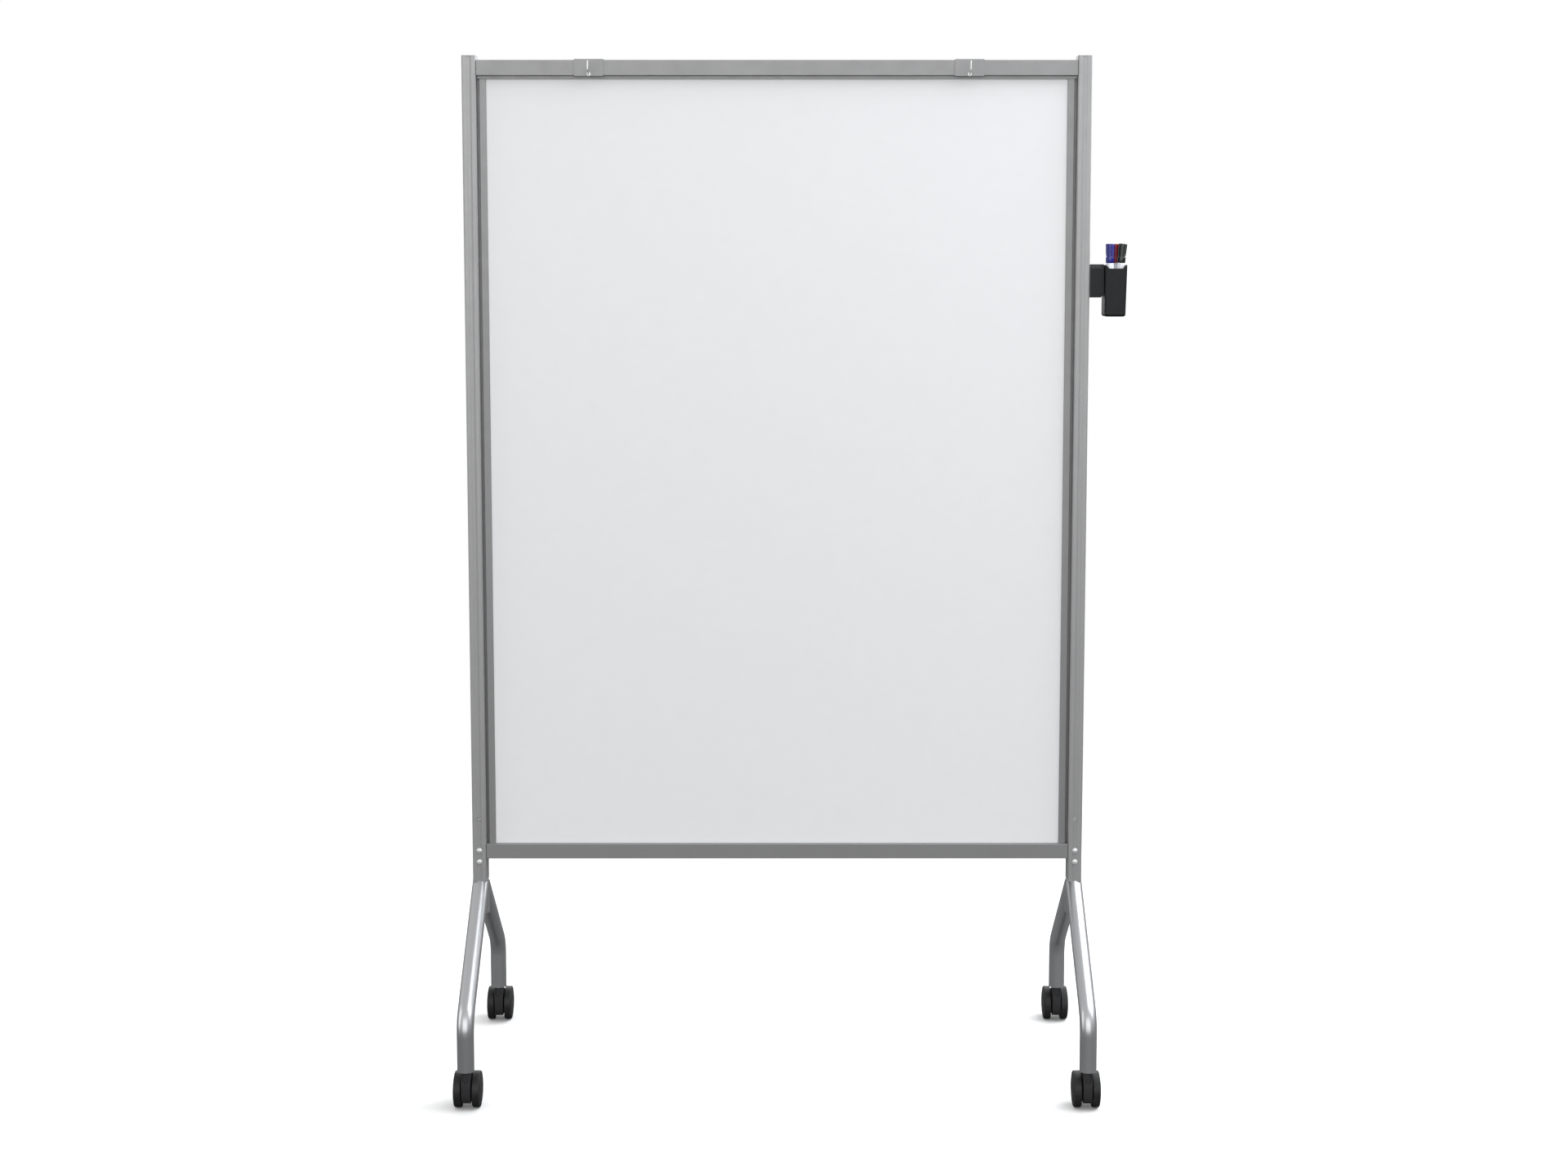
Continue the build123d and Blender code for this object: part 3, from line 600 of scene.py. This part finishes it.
def build_hood(side, end_name):
    """Hood with rounded edges, a front pocket, the stem's bore and a slot for a brake."""
    node = f"caster_hood_{end_name}_{side}"
    low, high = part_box(node)
    stem = Vector(((low.x + high.x) / 2, low.y - HOOD_FRONT, 0))
    hood = add(f"{end_name}_{side}_hood", prism(hood_outline(), -HOOD_HALF, HOOD_HALF, "X"))
    soften(hood, 1.3 * MM, 4, 40)
    cutters = [
        add("pocket", prism(pocket_outline(), 2 * HOOD_FRONT, HOOD_FRONT + POCKET_DEPTH, "Y")),
        add("stem", rod(STEM_BORE_R, STEM_BORE_LOW, PAST_HOOD_Z)),
    ]
    if end_name == "front":
        y, z = BRAKE_PIVOT
        slot = rectangle(y - BRAKE_SLOT_AHEAD, PAST_HOOD_Y, z - BRAKE_SLOT_BELOW, PAST_HOOD_Z)
        cutters.append(add("slot", prism(slot, -BRAKE_SLOT_HALF, BRAKE_SLOT_HALF, "X")))
    cut(hood, *cutters)
    soften(hood, 0.35 * MM, 2, 40)
    hood.data.transform(Matrix.Translation(stem))
    stand_for(hood, node)


def build_brake(side):
    """Pedal with rounded edges and three grip ridges."""
    node = f"brake_lever_front_{side}"
    low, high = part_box(node)
    hood_low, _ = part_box(f"caster_hood_front_{side}")
    stem = Vector(((low.x + high.x) / 2, hood_low.y - HOOD_FRONT, 0))
    y, z = BRAKE_PIVOT
    arm_view = [(-4, -3), (5, -3), (16, 0), (16, 4), (13, 4), (-4, 3)]
    pad_view = [(13, 0), (24, -0.5), (26, 1), (24, 3), (13, 4)]
    arm, pad = [[(y + a * MM, z + b * MM) for a, b in view] for view in (arm_view, pad_view)]
    lever = add("arm", prism(arm, -BRAKE_ARM_HALF, BRAKE_ARM_HALF, "X"))
    wide = add("pad", prism(pad, -BRAKE_PAD_HALF, BRAKE_PAD_HALF, "X"))
    cut(lever, wide, operation="UNION")
    soften(lever, 0.8 * MM, 3, 35)
    parts = [(rod(BRAKE_PIN_R, -HOOD_HALF, HOOD_HALF, 24), along_x(Matrix.Translation((0, y, z))))]
    tapered_end = RIDGE_HALF - 0.4 * MM
    for step in range(3):
        spot = Vector((0, y + (16 + 3 * step) * MM, z + (3.7 - 0.28 * step) * MM))
        ends = [(0, -RIDGE_HALF), (RIDGE_R, -tapered_end), (RIDGE_R, tapered_end), (0, RIDGE_HALF)]
        parts.append((lathe(ends, 12), along_x(Matrix.Translation(spot))))
    whole = merge(take_back(lever), *parts)
    whole.transform(Matrix.Translation(stem))
    stand_for(add(f"front_{side}_brake_pedal", whole), node)


# ---- Fasteners ---------------------------------------------------------------------------------
BOLT_R = 3 * MM
BOLT_HEAD_R = 4.9 * MM
BOLT_HEAD = 2.6 * MM
BOLT_FLANGE = 0.5 * MM
BOLT_TIP = 0.6 * MM
NUT_R = 5.6 * MM
NUT_HEIGHT = 5 * MM
NUT_CHAMFER = 0.8 * MM
THREAD_GAP = 0.02 * MM


def bolt_profile(length):
    """Domed head on a small flange, then the shank; height zero is the post's face."""
    dome = BOLT_HEAD - BOLT_FLANGE
    sphere = (BOLT_HEAD_R**2 + dome**2) / (2 * dome)
    reach = degrees(atan2(BOLT_HEAD_R, sphere - dome))
    cap = [(r, h + BOLT_HEAD - sphere) for h, r in arc((0, 0), sphere, 0, reach, 8)]
    shank = [(BOLT_R, 0), (BOLT_R, BOLT_TIP - length), (BOLT_R - BOLT_TIP, -length), (0, -length)]
    return [(0, BOLT_HEAD)] + cap[1:] + [(BOLT_HEAD_R, 0)] + shank


def build_bolts():
    """Two bolts through each post, heads to the front."""
    low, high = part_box("leg_bolts")
    front = low.y + BOLT_HEAD
    bolts = []
    for x in (low.x + BOLT_HEAD_R, high.x - BOLT_HEAD_R):
        for z in (low.z + BOLT_HEAD_R, high.z - BOLT_HEAD_R):
            place = Matrix.Translation((x, front, z)) @ Matrix.Rotation(pi / 2, 4, "X")
            bolts.append((lathe(bolt_profile(high.y - front), 40), place))
    stand_for(add("domed_bolts", merge(*bolts)), "leg_bolts", "bolts")


def hexagon_nut():
    """Nut about Z, its corners turned off at both faces."""
    half = NUT_R * cos(pi / 6)
    hexagon = [(NUT_R * cos(k * pi / 3), NUT_R * sin(k * pi / 3)) for k in range(6)]
    nut = add("nut", prism(hexagon, 0, NUT_HEIGHT, "Z"))
    wide, shoulder = NUT_R * 1.1, NUT_HEIGHT - NUT_CHAMFER
    side = [(half, 0), (wide, NUT_CHAMFER), (wide, shoulder), (half, NUT_HEIGHT)]
    turned = lathe([(0, 0)] + side + [(0, NUT_HEIGHT)])
    cut(nut, add("turned", turned), operation="INTERSECT")
    cut(nut, add("bore", rod(BOLT_R + THREAD_GAP, -MM, NUT_HEIGHT + 4 * MM, 40)))
    return take_back(nut)


def build_nuts():
    """A nut behind each bolt."""
    low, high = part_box("leg_nuts")
    half = NUT_R * cos(pi / 6)
    nuts = []
    for x in (low.x + NUT_R, high.x - NUT_R):
        for z in (low.z + half, high.z - half):
            place = Matrix.Translation((x, low.y, z)) @ Matrix.Rotation(-pi / 2, 4, "X")
            nuts.append((hexagon_nut(), place))
    stand_for(add("leg_hex_nuts", merge(*nuts), 25), "leg_nuts")


# ---- Hook clips --------------------------------------------------------------------------------
CLIP_SHEET = 1.2 * MM
CLIP_BEND = 1.9 * MM
CLIP_CORNER = 2.0 * MM
CLIP_STRIPS = 6
HOOK_R = 1.3 * MM
HOOK_BEND_R = 5 * MM
HOOK_ROOT = 1808 * MM
HOOK_RISE = 3 * MM
HOOK_SUNK = 0.4 * MM          # length of wire inside the plate
WASHER_R = 3.4 * MM
WASHER_HEIGHT = 0.8 * MM


def build_saddle(side):
    """Bent sheet over the top rail, with rounded bends and rounded lower corners."""
    low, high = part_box(f"clip_saddle_{side}")
    half = (high.y - low.y - CLIP_SHEET) / 2
    top = high.z - CLIP_SHEET / 2
    bend = CLIP_BEND - CLIP_SHEET / 2
    ends = [low.z + CLIP_CORNER * (1 - cos(radians(a))) for a in range(0, 91, 15)]
    rise = [(half, z, z - low.z) for z in ends + [low.z + 8 * MM, low.z + 16 * MM]]
    over = [(y, z, CLIP_CORNER) for y, z in arc((half - bend, top - bend), bend, 0, 90, 8)]
    middle = [(half * f, top, CLIP_CORNER) for f in (0.6, 0.2)]
    half_path = rise + over + middle
    path = half_path + [(-y, z, d) for y, z, d in reversed(half_path)]
    bm = bmesh.new()
    rows = []
    for y, z, from_end in path:
        near = max(CLIP_CORNER - from_end, 0)
        inset = CLIP_CORNER - sqrt(CLIP_CORNER**2 - near**2)
        left, right = low.x + inset, high.x - inset
        xs = [left + (right - left) * k / CLIP_STRIPS for k in range(CLIP_STRIPS + 1)]
        rows.append([bm.verts.new((x, BOARD_Y + y, z)) for x in xs])
    for before, after in zip(rows, rows[1:]):
        for k in range(CLIP_STRIPS):
            bm.faces.new((before[k], before[k + 1], after[k + 1], after[k]))
    saddle = add(f"{side}_clip_plate", bm)
    solid = saddle.modifiers.new("sheet", "SOLIDIFY")
    solid.thickness = CLIP_SHEET
    solid.offset = 0
    solid.use_even_offset = True
    settle(saddle)
    soften(saddle, 0.25 * MM, 2, 60)
    stand_for(saddle, f"clip_saddle_{side}")


def build_hook(side):
    """Wire hook with a round tip, staked through a small washer on the clip's face."""
    low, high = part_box(f"clip_hook_{side}")
    x = (low.x + high.x) / 2
    y_face, y_up = high.y, low.y + HOOK_R
    root = Vector((x, y_face + HOOK_SUNK, HOOK_ROOT))
    corner = Vector((x, y_up, HOOK_ROOT + HOOK_RISE))
    along = (corner - Vector((x, y_face, HOOK_ROOT))).normalized()
    turn = pi / 2 - atan2(HOOK_RISE, y_face - y_up)
    tangent = HOOK_BEND_R * tan(turn / 2)
    centre = corner + Vector((0, HOOK_BEND_R, tangent))
    path = [root.lerp(corner - along * tangent, i / 5) for i in range(5)]
    for i in range(17):
        angle = pi + turn * (1 - i / 16)
        path.append(centre + Vector((0, cos(angle), sin(angle))) * HOOK_BEND_R)
    tip = high.z - HOOK_R
    foot = path[-1].z
    path += [Vector((x, y_up, foot + (tip - foot) * i / 4)) for i in range(1, 5)]
    wire = sweep(path, HOOK_R, 28)
    ball = lathe([(0, 0)] + arc((0, 0), HOOK_R, 0, 75, 5) + [(0, HOOK_R)], 28)
    rim = [(WASHER_R, 0), (WASHER_R, 0.5 * MM), (WASHER_R - 0.4 * MM, WASHER_HEIGHT)]
    washer = lathe([(0, 0)] + rim + [(0, WASHER_HEIGHT)], 36)
    facing = Matrix.Translation((x, y_face, HOOK_ROOT)) @ Matrix.Rotation(pi / 2, 4, "X")
    whole = merge(wire, (ball, Matrix.Translation((x, y_up, tip))), (washer, facing))
    stand_for(add(f"{side}_clip_wire", whole), f"clip_hook_{side}")


# ---- Pen holder and markers --------------------------------------------------------------------
CUP_WIDTH = 39.5 * MM
CUP_WALL = 2 * MM
CUP_FLOOR = 6 * MM
CUP_CORNER = 3.6 * MM
CUP_TAPER = 2 * MM
CUP_SCOOP = 6.5 * MM
SCOOP_RAMP = 6.5 * MM         # width of the slope at each end of the front rim's dip
CUP_FOOT = 4.5 * MM
CUP_RIM = 1 * MM
CUP_BELOW_RIM = 8 * MM        # where the plain walls end and the dipped rim starts
RIB_LOW, RIB_HIGH = 1432 * MM, 1468 * MM
RIB_NECK_HALF = 3 * MM
RIB_HEAD_HALF = 6 * MM
RIB_HEAD = 3 * MM             # the head's thickness, and its depth under the bracket's face
RIB_SUNK = 0.4 * MM           # how far the rib runs into the cup's wall
RIB_LAP = 1 * MM              # how far the neck runs into the head
SLOT_GAP = 0.3 * MM           # clearance all round the rib and between cup and bracket
BRACKET_BEVEL = 7 * MM
BRACKET_CORNER = 6 * MM


def cup_ring(low, high, height, inset, corner):
    """Outline of the cup at a height, inset from its outer face."""
    share = (height - low.z) / (high.z - low.z)
    shrink = CUP_TAPER * (1 - share)
    half_x = (high.x - low.x - shrink) / 2 - inset
    half_y = (high.y - low.y - shrink) / 2 - inset
    middle = low.x + (high.x - low.x - shrink) / 2
    points = rounded_rectangle(half_x, half_y, max(corner - inset, 1.2 * MM), 6, 14)
    return [Vector((middle + x, BOARD_Y + y, height)) for x, y in points]


def rim_dip(point, low, high):
    """How far the rim is lowered at a point: a flat-bottomed dip across the front wall."""
    from_side = min(point.x - low.x, high.x - point.x) - CUP_WALL / 2
    if point.y > low.y + CUP_CORNER:
        return 0.0
    return CUP_SCOOP * min(max(from_side / SCOOP_RAMP, 0), 1)


def build_cup():
    """Thin-walled cup with a rounded, dipped rim, a round foot and the T-shaped rib behind it."""
    low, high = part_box("pen_cup")
    low = Vector((high.x - CUP_WIDTH, low.y, low.z))
    outer = []
    for a in map(radians, range(90, -1, -15)):
        outer.append((low.z + CUP_FOOT * (1 - sin(a)), CUP_FOOT * (1 - cos(a))))
    rise = high.z - CUP_BELOW_RIM - low.z - CUP_FOOT
    heights = [low.z + CUP_FOOT + rise * i / 5 for i in range(1, 6)]
    outer += [(z, 0) for z in heights]
    rings = [cup_ring(low, high, z, inset, CUP_CORNER) for z, inset in outer]
    for a in map(radians, range(0, 181, 30)):
        height = high.z - CUP_RIM + CUP_RIM * sin(a)
        ring = cup_ring(low, high, high.z, CUP_WALL / 2 - CUP_WALL / 2 * cos(a), CUP_CORNER)
        rings.append([Vector((p.x, p.y, height - rim_dip(p, low, high))) for p in ring])
    rings += [cup_ring(low, high, z, CUP_WALL, CUP_CORNER) for z in reversed(heights)]
    floor = low.z + CUP_FLOOR
    rings.append(cup_ring(low, high, floor + 1.5 * MM, CUP_WALL, CUP_CORNER))
    rings.append(cup_ring(low, high, floor, CUP_WALL + 1.2 * MM, CUP_CORNER))
    face = low.x - SLOT_GAP
    neck_end, root = face - RIB_HEAD - RIB_LAP, low.x + RIB_SUNK
    neck = rectangle(neck_end, root, -RIB_NECK_HALF, RIB_NECK_HALF)
    head = rectangle(face - 2 * RIB_HEAD, face - RIB_HEAD, -RIB_HEAD_HALF, RIB_HEAD_HALF)
    rib = []
    for shape in (neck, head):
        outline = [(x, BOARD_Y + y) for x, y in shape]
        rib.append(prism(outline, RIB_LOW, RIB_HIGH, "Z"))
    stand_for(add("cup_body", merge(rings_mesh(rings), *rib), 50), "pen_cup")


def build_bracket():
    """Holder bracket with bevelled top edges, a cut lower corner and the cup's T-shaped slot."""
    low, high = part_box("holder_bracket")
    half = (high.y - low.y) / 2
    shoulder, corner = high.z - BRACKET_BEVEL, BRACKET_CORNER
    bevel = [(half - BRACKET_BEVEL, high.z), (BRACKET_BEVEL - half, high.z)]
    view = [(-half, low.z), (half, low.z), (half, shoulder)] + bevel + [(-half, shoulder)]
    bracket = add("bracket", prism([(BOARD_Y + y, z) for y, z in view], low.x, high.x, "X"))
    outside = [(high.x - corner, low.z - MM), (high.x + MM, low.z - MM), (high.x + MM, low.z + corner)]
    wedge = outside + [(high.x, low.z + corner), (high.x - corner, low.z)]
    neck_half, head_half = RIB_NECK_HALF + SLOT_GAP, RIB_HEAD_HALF + SLOT_GAP
    head_low, head_high = high.x - 2 * RIB_HEAD - SLOT_GAP, high.x - RIB_HEAD + SLOT_GAP
    head = rectangle(head_low, head_high, -head_half, head_half)
    neck = rectangle(high.x - RIB_HEAD - RIB_LAP, high.x + MM, -neck_half, neck_half)
    cutters = [add("wedge", prism(wedge, low.y - MM, high.y + MM, "Y"))]
    for shape in (head, neck):
        outline = [(x, BOARD_Y + y) for x, y in shape]
        cutters.append(add("slot", prism(outline, RIB_LOW - SLOT_GAP, high.z + MM, "Z")))
    cut(bracket, *cutters)
    soften(bracket, 0.8 * MM, 3, 35)
    bracket.name = "cup_bracket"
    stand_for(bracket, "holder_bracket", "cup_plastic")


BARREL_R = 7 * MM
BARREL_LENGTH = 88.6 * MM
NECK_R = 6 * MM
NECK_LENGTH = 16 * MM
NIB_R = 2.4 * MM
NIB_LENGTH = 6 * MM
LID_R = 8 * MM
LID_LENGTH = 34 * MM
LID_WALL_TOP = 3 * MM
LID_GAP = 0.3 * MM
MARKERS = {                   # where each barrel stands and its lean in degrees
    "blue": (592.8 * MM, -14 * MM, 0.0),
    "red": (606 * MM, 10 * MM, 0.0),
    "black": (605.8 * MM, -7 * MM, 5.0),
}


def barrel_profile():
    """Stepped foot, grooved barrel, neck and bullet nib."""
    top, tip = BARREL_LENGTH + NECK_LENGTH, BARREL_LENGTH + NECK_LENGTH + NIB_LENGTH
    foot = in_mm((0, 0.6), (4.4, 0.6), (4.8, 0), (5.9, 0), (6.7, 0.5), (7, 1.4))
    groove = in_mm((7, 5.0), (6.8, 5.2), (6.8, 5.6), (7, 5.8))
    side = [(BARREL_R, h * MM) for h in (30, 60, 83)]
    shoulder = [(BARREL_R - 0.1 * MM, 87 * MM), (BARREL_R - 0.5 * MM, 88.3 * MM)]
    shoulder += [(NECK_R + 0.3 * MM, BARREL_LENGTH), (NECK_R, BARREL_LENGTH + 0.3 * MM)]
    neck = [(NECK_R, BARREL_LENGTH + 9 * MM), (NECK_R - 0.6 * MM, BARREL_LENGTH + 10 * MM)]
    neck += [(4.2 * MM, top - 1 * MM), (3.6 * MM, top)]
    nib = [(NIB_R, top), (NIB_R, top + 3.5 * MM), (1.9 * MM, top + 5 * MM)]
    return foot + groove + side + shoulder + neck + nib + [(1 * MM, tip - 0.2 * MM), (0, tip)]


def lid_profile():
    """Cap about its own lower end: tapered collar, waist, then a finely ribbed grip."""
    bore, inner_top = NECK_R + LID_GAP, LID_LENGTH - LID_WALL_TOP
    collar = [(0.8, 0.5), (0.5, 6), (0.5, 9.8), (0.8, 10.7)]
    waist = [(1.4, 11.1), (1.4, 13.2), (0.5, 13.7)]
    points = [(0, inner_top), (bore, inner_top), (bore, 0.3 * MM), (bore + 0.3 * MM, 0)]
    points += [(LID_R - depth * MM, h * MM) for depth, h in [(1.2, 0)] + collar + waist]
    rib_from, rib_to, ribs = 14.2 * MM, LID_LENGTH - 2.4 * MM, 10
    pitch = (rib_to - rib_from) / ribs
    for k in range(ribs):
        base = rib_from + k * pitch
        swell = LID_R - 0.5 * MM + 0.5 * MM * k / (ribs - 1)
        points += [(swell - 0.22 * MM, base), (swell - 0.03 * MM, base + 0.3 * pitch)]
        points += [(swell, base + 0.5 * pitch), (swell - 0.03 * MM, base + 0.7 * pitch)]
    points += [(LID_R - 0.2 * MM, rib_to), (LID_R, rib_to + 0.4 * MM)]
    crown = [(0, 0.8), (0.25, 0.25), (0.8, 0), (2.0, 0), (2.4, 0.5)]
    points += [(LID_R - inset * MM, LID_LENGTH - depth * MM) for inset, depth in crown]
    return points + [(0, LID_LENGTH - 0.5 * MM)]


def build_marker(colour):
    """Barrel standing on the cup's floor, leaning if it should, with its cap pushed on."""
    x, y, degrees_over = MARKERS[colour]
    lean = radians(degrees_over)
    cup_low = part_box("pen_cup")[0].z
    base = cup_low + CUP_FLOOR + LID_GAP + BARREL_R * sin(lean)
    spot = Vector((BOARD_X + x, BOARD_Y + y, base))
    place = Matrix.Translation(spot) @ Matrix.Rotation(lean, 4, "Y")
    barrel = merge((lathe(barrel_profile(), 56), place))
    stand_for(add(f"{colour}_pen_barrel", barrel, 30), f"marker_barrel_{colour}")
    raised = place @ Matrix.Translation((0, 0, BARREL_LENGTH + LID_GAP))
    lid = merge((lathe(lid_profile(), 64), raised))
    stand_for(add(f"{colour}_pen_lid", lid, 50), f"marker_cap_{colour}")


# ---- Assembly ----------------------------------------------------------------------------------
for name, node in frame["nodes"].items():
    dress(node, "posts" if name in ("post_left", "post_right") else SLOT_OF[name])

for side in SIDES:
    for end_name in ENDS:
        build_leg(side, end_name)
        build_hood(side, end_name)
        for place in ("outer", "inner"):
            build_wheel(side, end_name, place)
    build_brake(side)
    build_saddle(side)
    build_hook(side)
build_bolts()
build_nuts()
build_cup()
build_bracket()
for colour in MARKERS:
    build_marker(colour)


# ---- Stage, light and camera -------------------------------------------------------------------
FLOOR_RADIUS = 30
FADE_FROM, FADE_TO = 0.6, 3.0       # distances between which the floor turns plain white
FLOOR_SEEN, FLOOR_LIT = 0.92, 0.14  # its shade to the camera, and to light bounced onto the object


def pale_floor():
    """Pale floor that fades to plain white well away from the object."""
    bpy.ops.mesh.primitive_circle_add(
        vertices=96, radius=FLOOR_RADIUS, fill_type="NGON", location=(0, 0, FLOOR_Z)
    )
    floor = bpy.context.object
    floor.name = "floor"
    material = bpy.data.materials.new("pale_floor")
    material.use_nodes = True
    tree = material.node_tree
    nodes, links = tree.nodes, tree.links
    nodes.clear()
    near = nodes.new("ShaderNodeBsdfDiffuse")
    near.inputs["Color"].default_value = (*[FLOOR_SEEN] * 3, 1)
    far = nodes.new("ShaderNodeEmission")
    far.inputs["Color"].default_value = (1, 1, 1, 1)
    dim = nodes.new("ShaderNodeBsdfDiffuse")
    dim.inputs["Color"].default_value = (*[FLOOR_LIT] * 3, 1)
    coordinates = nodes.new("ShaderNodeTexCoord")
    length = nodes.new("ShaderNodeVectorMath")
    length.operation = "LENGTH"
    links.new(coordinates.outputs["Object"], length.inputs[0])
    fade = nodes.new("ShaderNodeMapRange")
    fade.interpolation_type = "SMOOTHSTEP"
    fade.inputs["From Min"].default_value = FADE_FROM
    fade.inputs["From Max"].default_value = FADE_TO
    links.new(length.outputs["Value"], fade.inputs["Value"])
    seen = nodes.new("ShaderNodeMixShader")
    links.new(fade.outputs["Result"], seen.inputs["Fac"])
    links.new(near.outputs[0], seen.inputs[1])
    links.new(far.outputs[0], seen.inputs[2])
    ray = nodes.new("ShaderNodeLightPath")
    final = nodes.new("ShaderNodeMixShader")
    links.new(ray.outputs["Is Camera Ray"], final.inputs["Fac"])
    links.new(dim.outputs[0], final.inputs[1])
    links.new(seen.outputs[0], final.inputs[2])
    out = nodes.new("ShaderNodeOutputMaterial")
    links.new(final.outputs[0], out.inputs["Surface"])
    floor.data.materials.append(material)


WORLD_FROM, WORLD_TO = -0.25, 0.35  # Z of the directions between which the light grows
WORLD_LOW, WORLD_HIGH = 0.3, 0.8


def studio_world():
    """White backdrop for the camera; soft grey surroundings, brighter above, for the light."""
    world = bpy.data.worlds.new("studio")
    bpy.context.scene.world = world
    world.use_nodes = True
    nodes, links = world.node_tree.nodes, world.node_tree.links
    nodes.clear()
    coordinates = nodes.new("ShaderNodeTexCoord")
    parts = nodes.new("ShaderNodeSeparateXYZ")
    links.new(coordinates.outputs["Generated"], parts.inputs[0])
    height = nodes.new("ShaderNodeMapRange")
    height.interpolation_type = "SMOOTHSTEP"
    height.inputs["From Min"].default_value = WORLD_FROM
    height.inputs["From Max"].default_value = WORLD_TO
    height.inputs["To Min"].default_value = WORLD_LOW
    height.inputs["To Max"].default_value = WORLD_HIGH
    links.new(parts.outputs["Z"], height.inputs["Value"])
    soft = nodes.new("ShaderNodeBackground")
    soft.inputs["Color"].default_value = (1, 1, 1, 1)
    links.new(height.outputs["Result"], soft.inputs["Strength"])
    white = nodes.new("ShaderNodeBackground")
    white.inputs["Color"].default_value = (1, 1, 1, 1)
    ray = nodes.new("ShaderNodeLightPath")
    mix = nodes.new("ShaderNodeMixShader")
    links.new(ray.outputs["Is Camera Ray"], mix.inputs["Fac"])
    links.new(soft.outputs[0], mix.inputs[1])
    links.new(white.outputs[0], mix.inputs[2])
    out = nodes.new("ShaderNodeOutputWorld")
    links.new(mix.outputs[0], out.inputs["Surface"])


def softbox(name, place, aim, size, power, tint=(1, 1, 1)):
    """Rectangular area light at a place, turned towards its aim."""
    light = bpy.data.lights.new(name, "AREA")
    light.shape = "RECTANGLE"
    light.size, light.size_y = size
    light.energy = power
    light.color = tint
    lamp = bpy.data.objects.new(name, light)
    bpy.context.scene.collection.objects.link(lamp)
    lamp.location = place
    lamp.rotation_mode = "QUATERNION"
    lamp.rotation_quaternion = (Vector(aim) - Vector(place)).to_track_quat("-Z", "Y")


CAMERA_DISTANCE = 4.276
CAMERA_HEIGHT = 1.5
CAMERA_PITCH = 6.22
CAMERA_SIDE = 12.5 * MM
CAMERA_SHIFT = -0.05
FOCAL_LENGTH = 54.66


def camera():
    """Camera straight in front of the board, a little above its middle and tilted down."""
    data = bpy.data.cameras.new("camera")
    data.sensor_width = 36
    data.lens = FOCAL_LENGTH
    data.shift_y = CAMERA_SHIFT
    view = bpy.data.objects.new("camera", data)
    bpy.context.scene.collection.objects.link(view)
    view.location = (BOARD_X + CAMERA_SIDE, BOARD_Y - CAMERA_DISTANCE, CAMERA_HEIGHT)
    view.rotation_euler = (radians(90 - CAMERA_PITCH), 0, 0)
    bpy.context.scene.camera = view


pale_floor()
studio_world()
softbox("key", (2.3, 0.4, 3.0), (0.2, 0.4, 0.4), (4.2, 3.4), 165, (0.93, 0.97, 1))
softbox("front_fill", (-0.4, -7.5, 2.9), (0, 0, 1.2), (9.0, 5.0), 225)
softbox("back_fill", (0.4, 6.5, 3.4), (0, 0, 1.0), (6.0, 4.0), 150)
softbox("left_strip", (-3.5, -0.5, 1.2), (0, 0, 1.2), (1.5, 2.5), 20)
camera()
bpy.context.scene.view_settings.view_transform = "Standard"
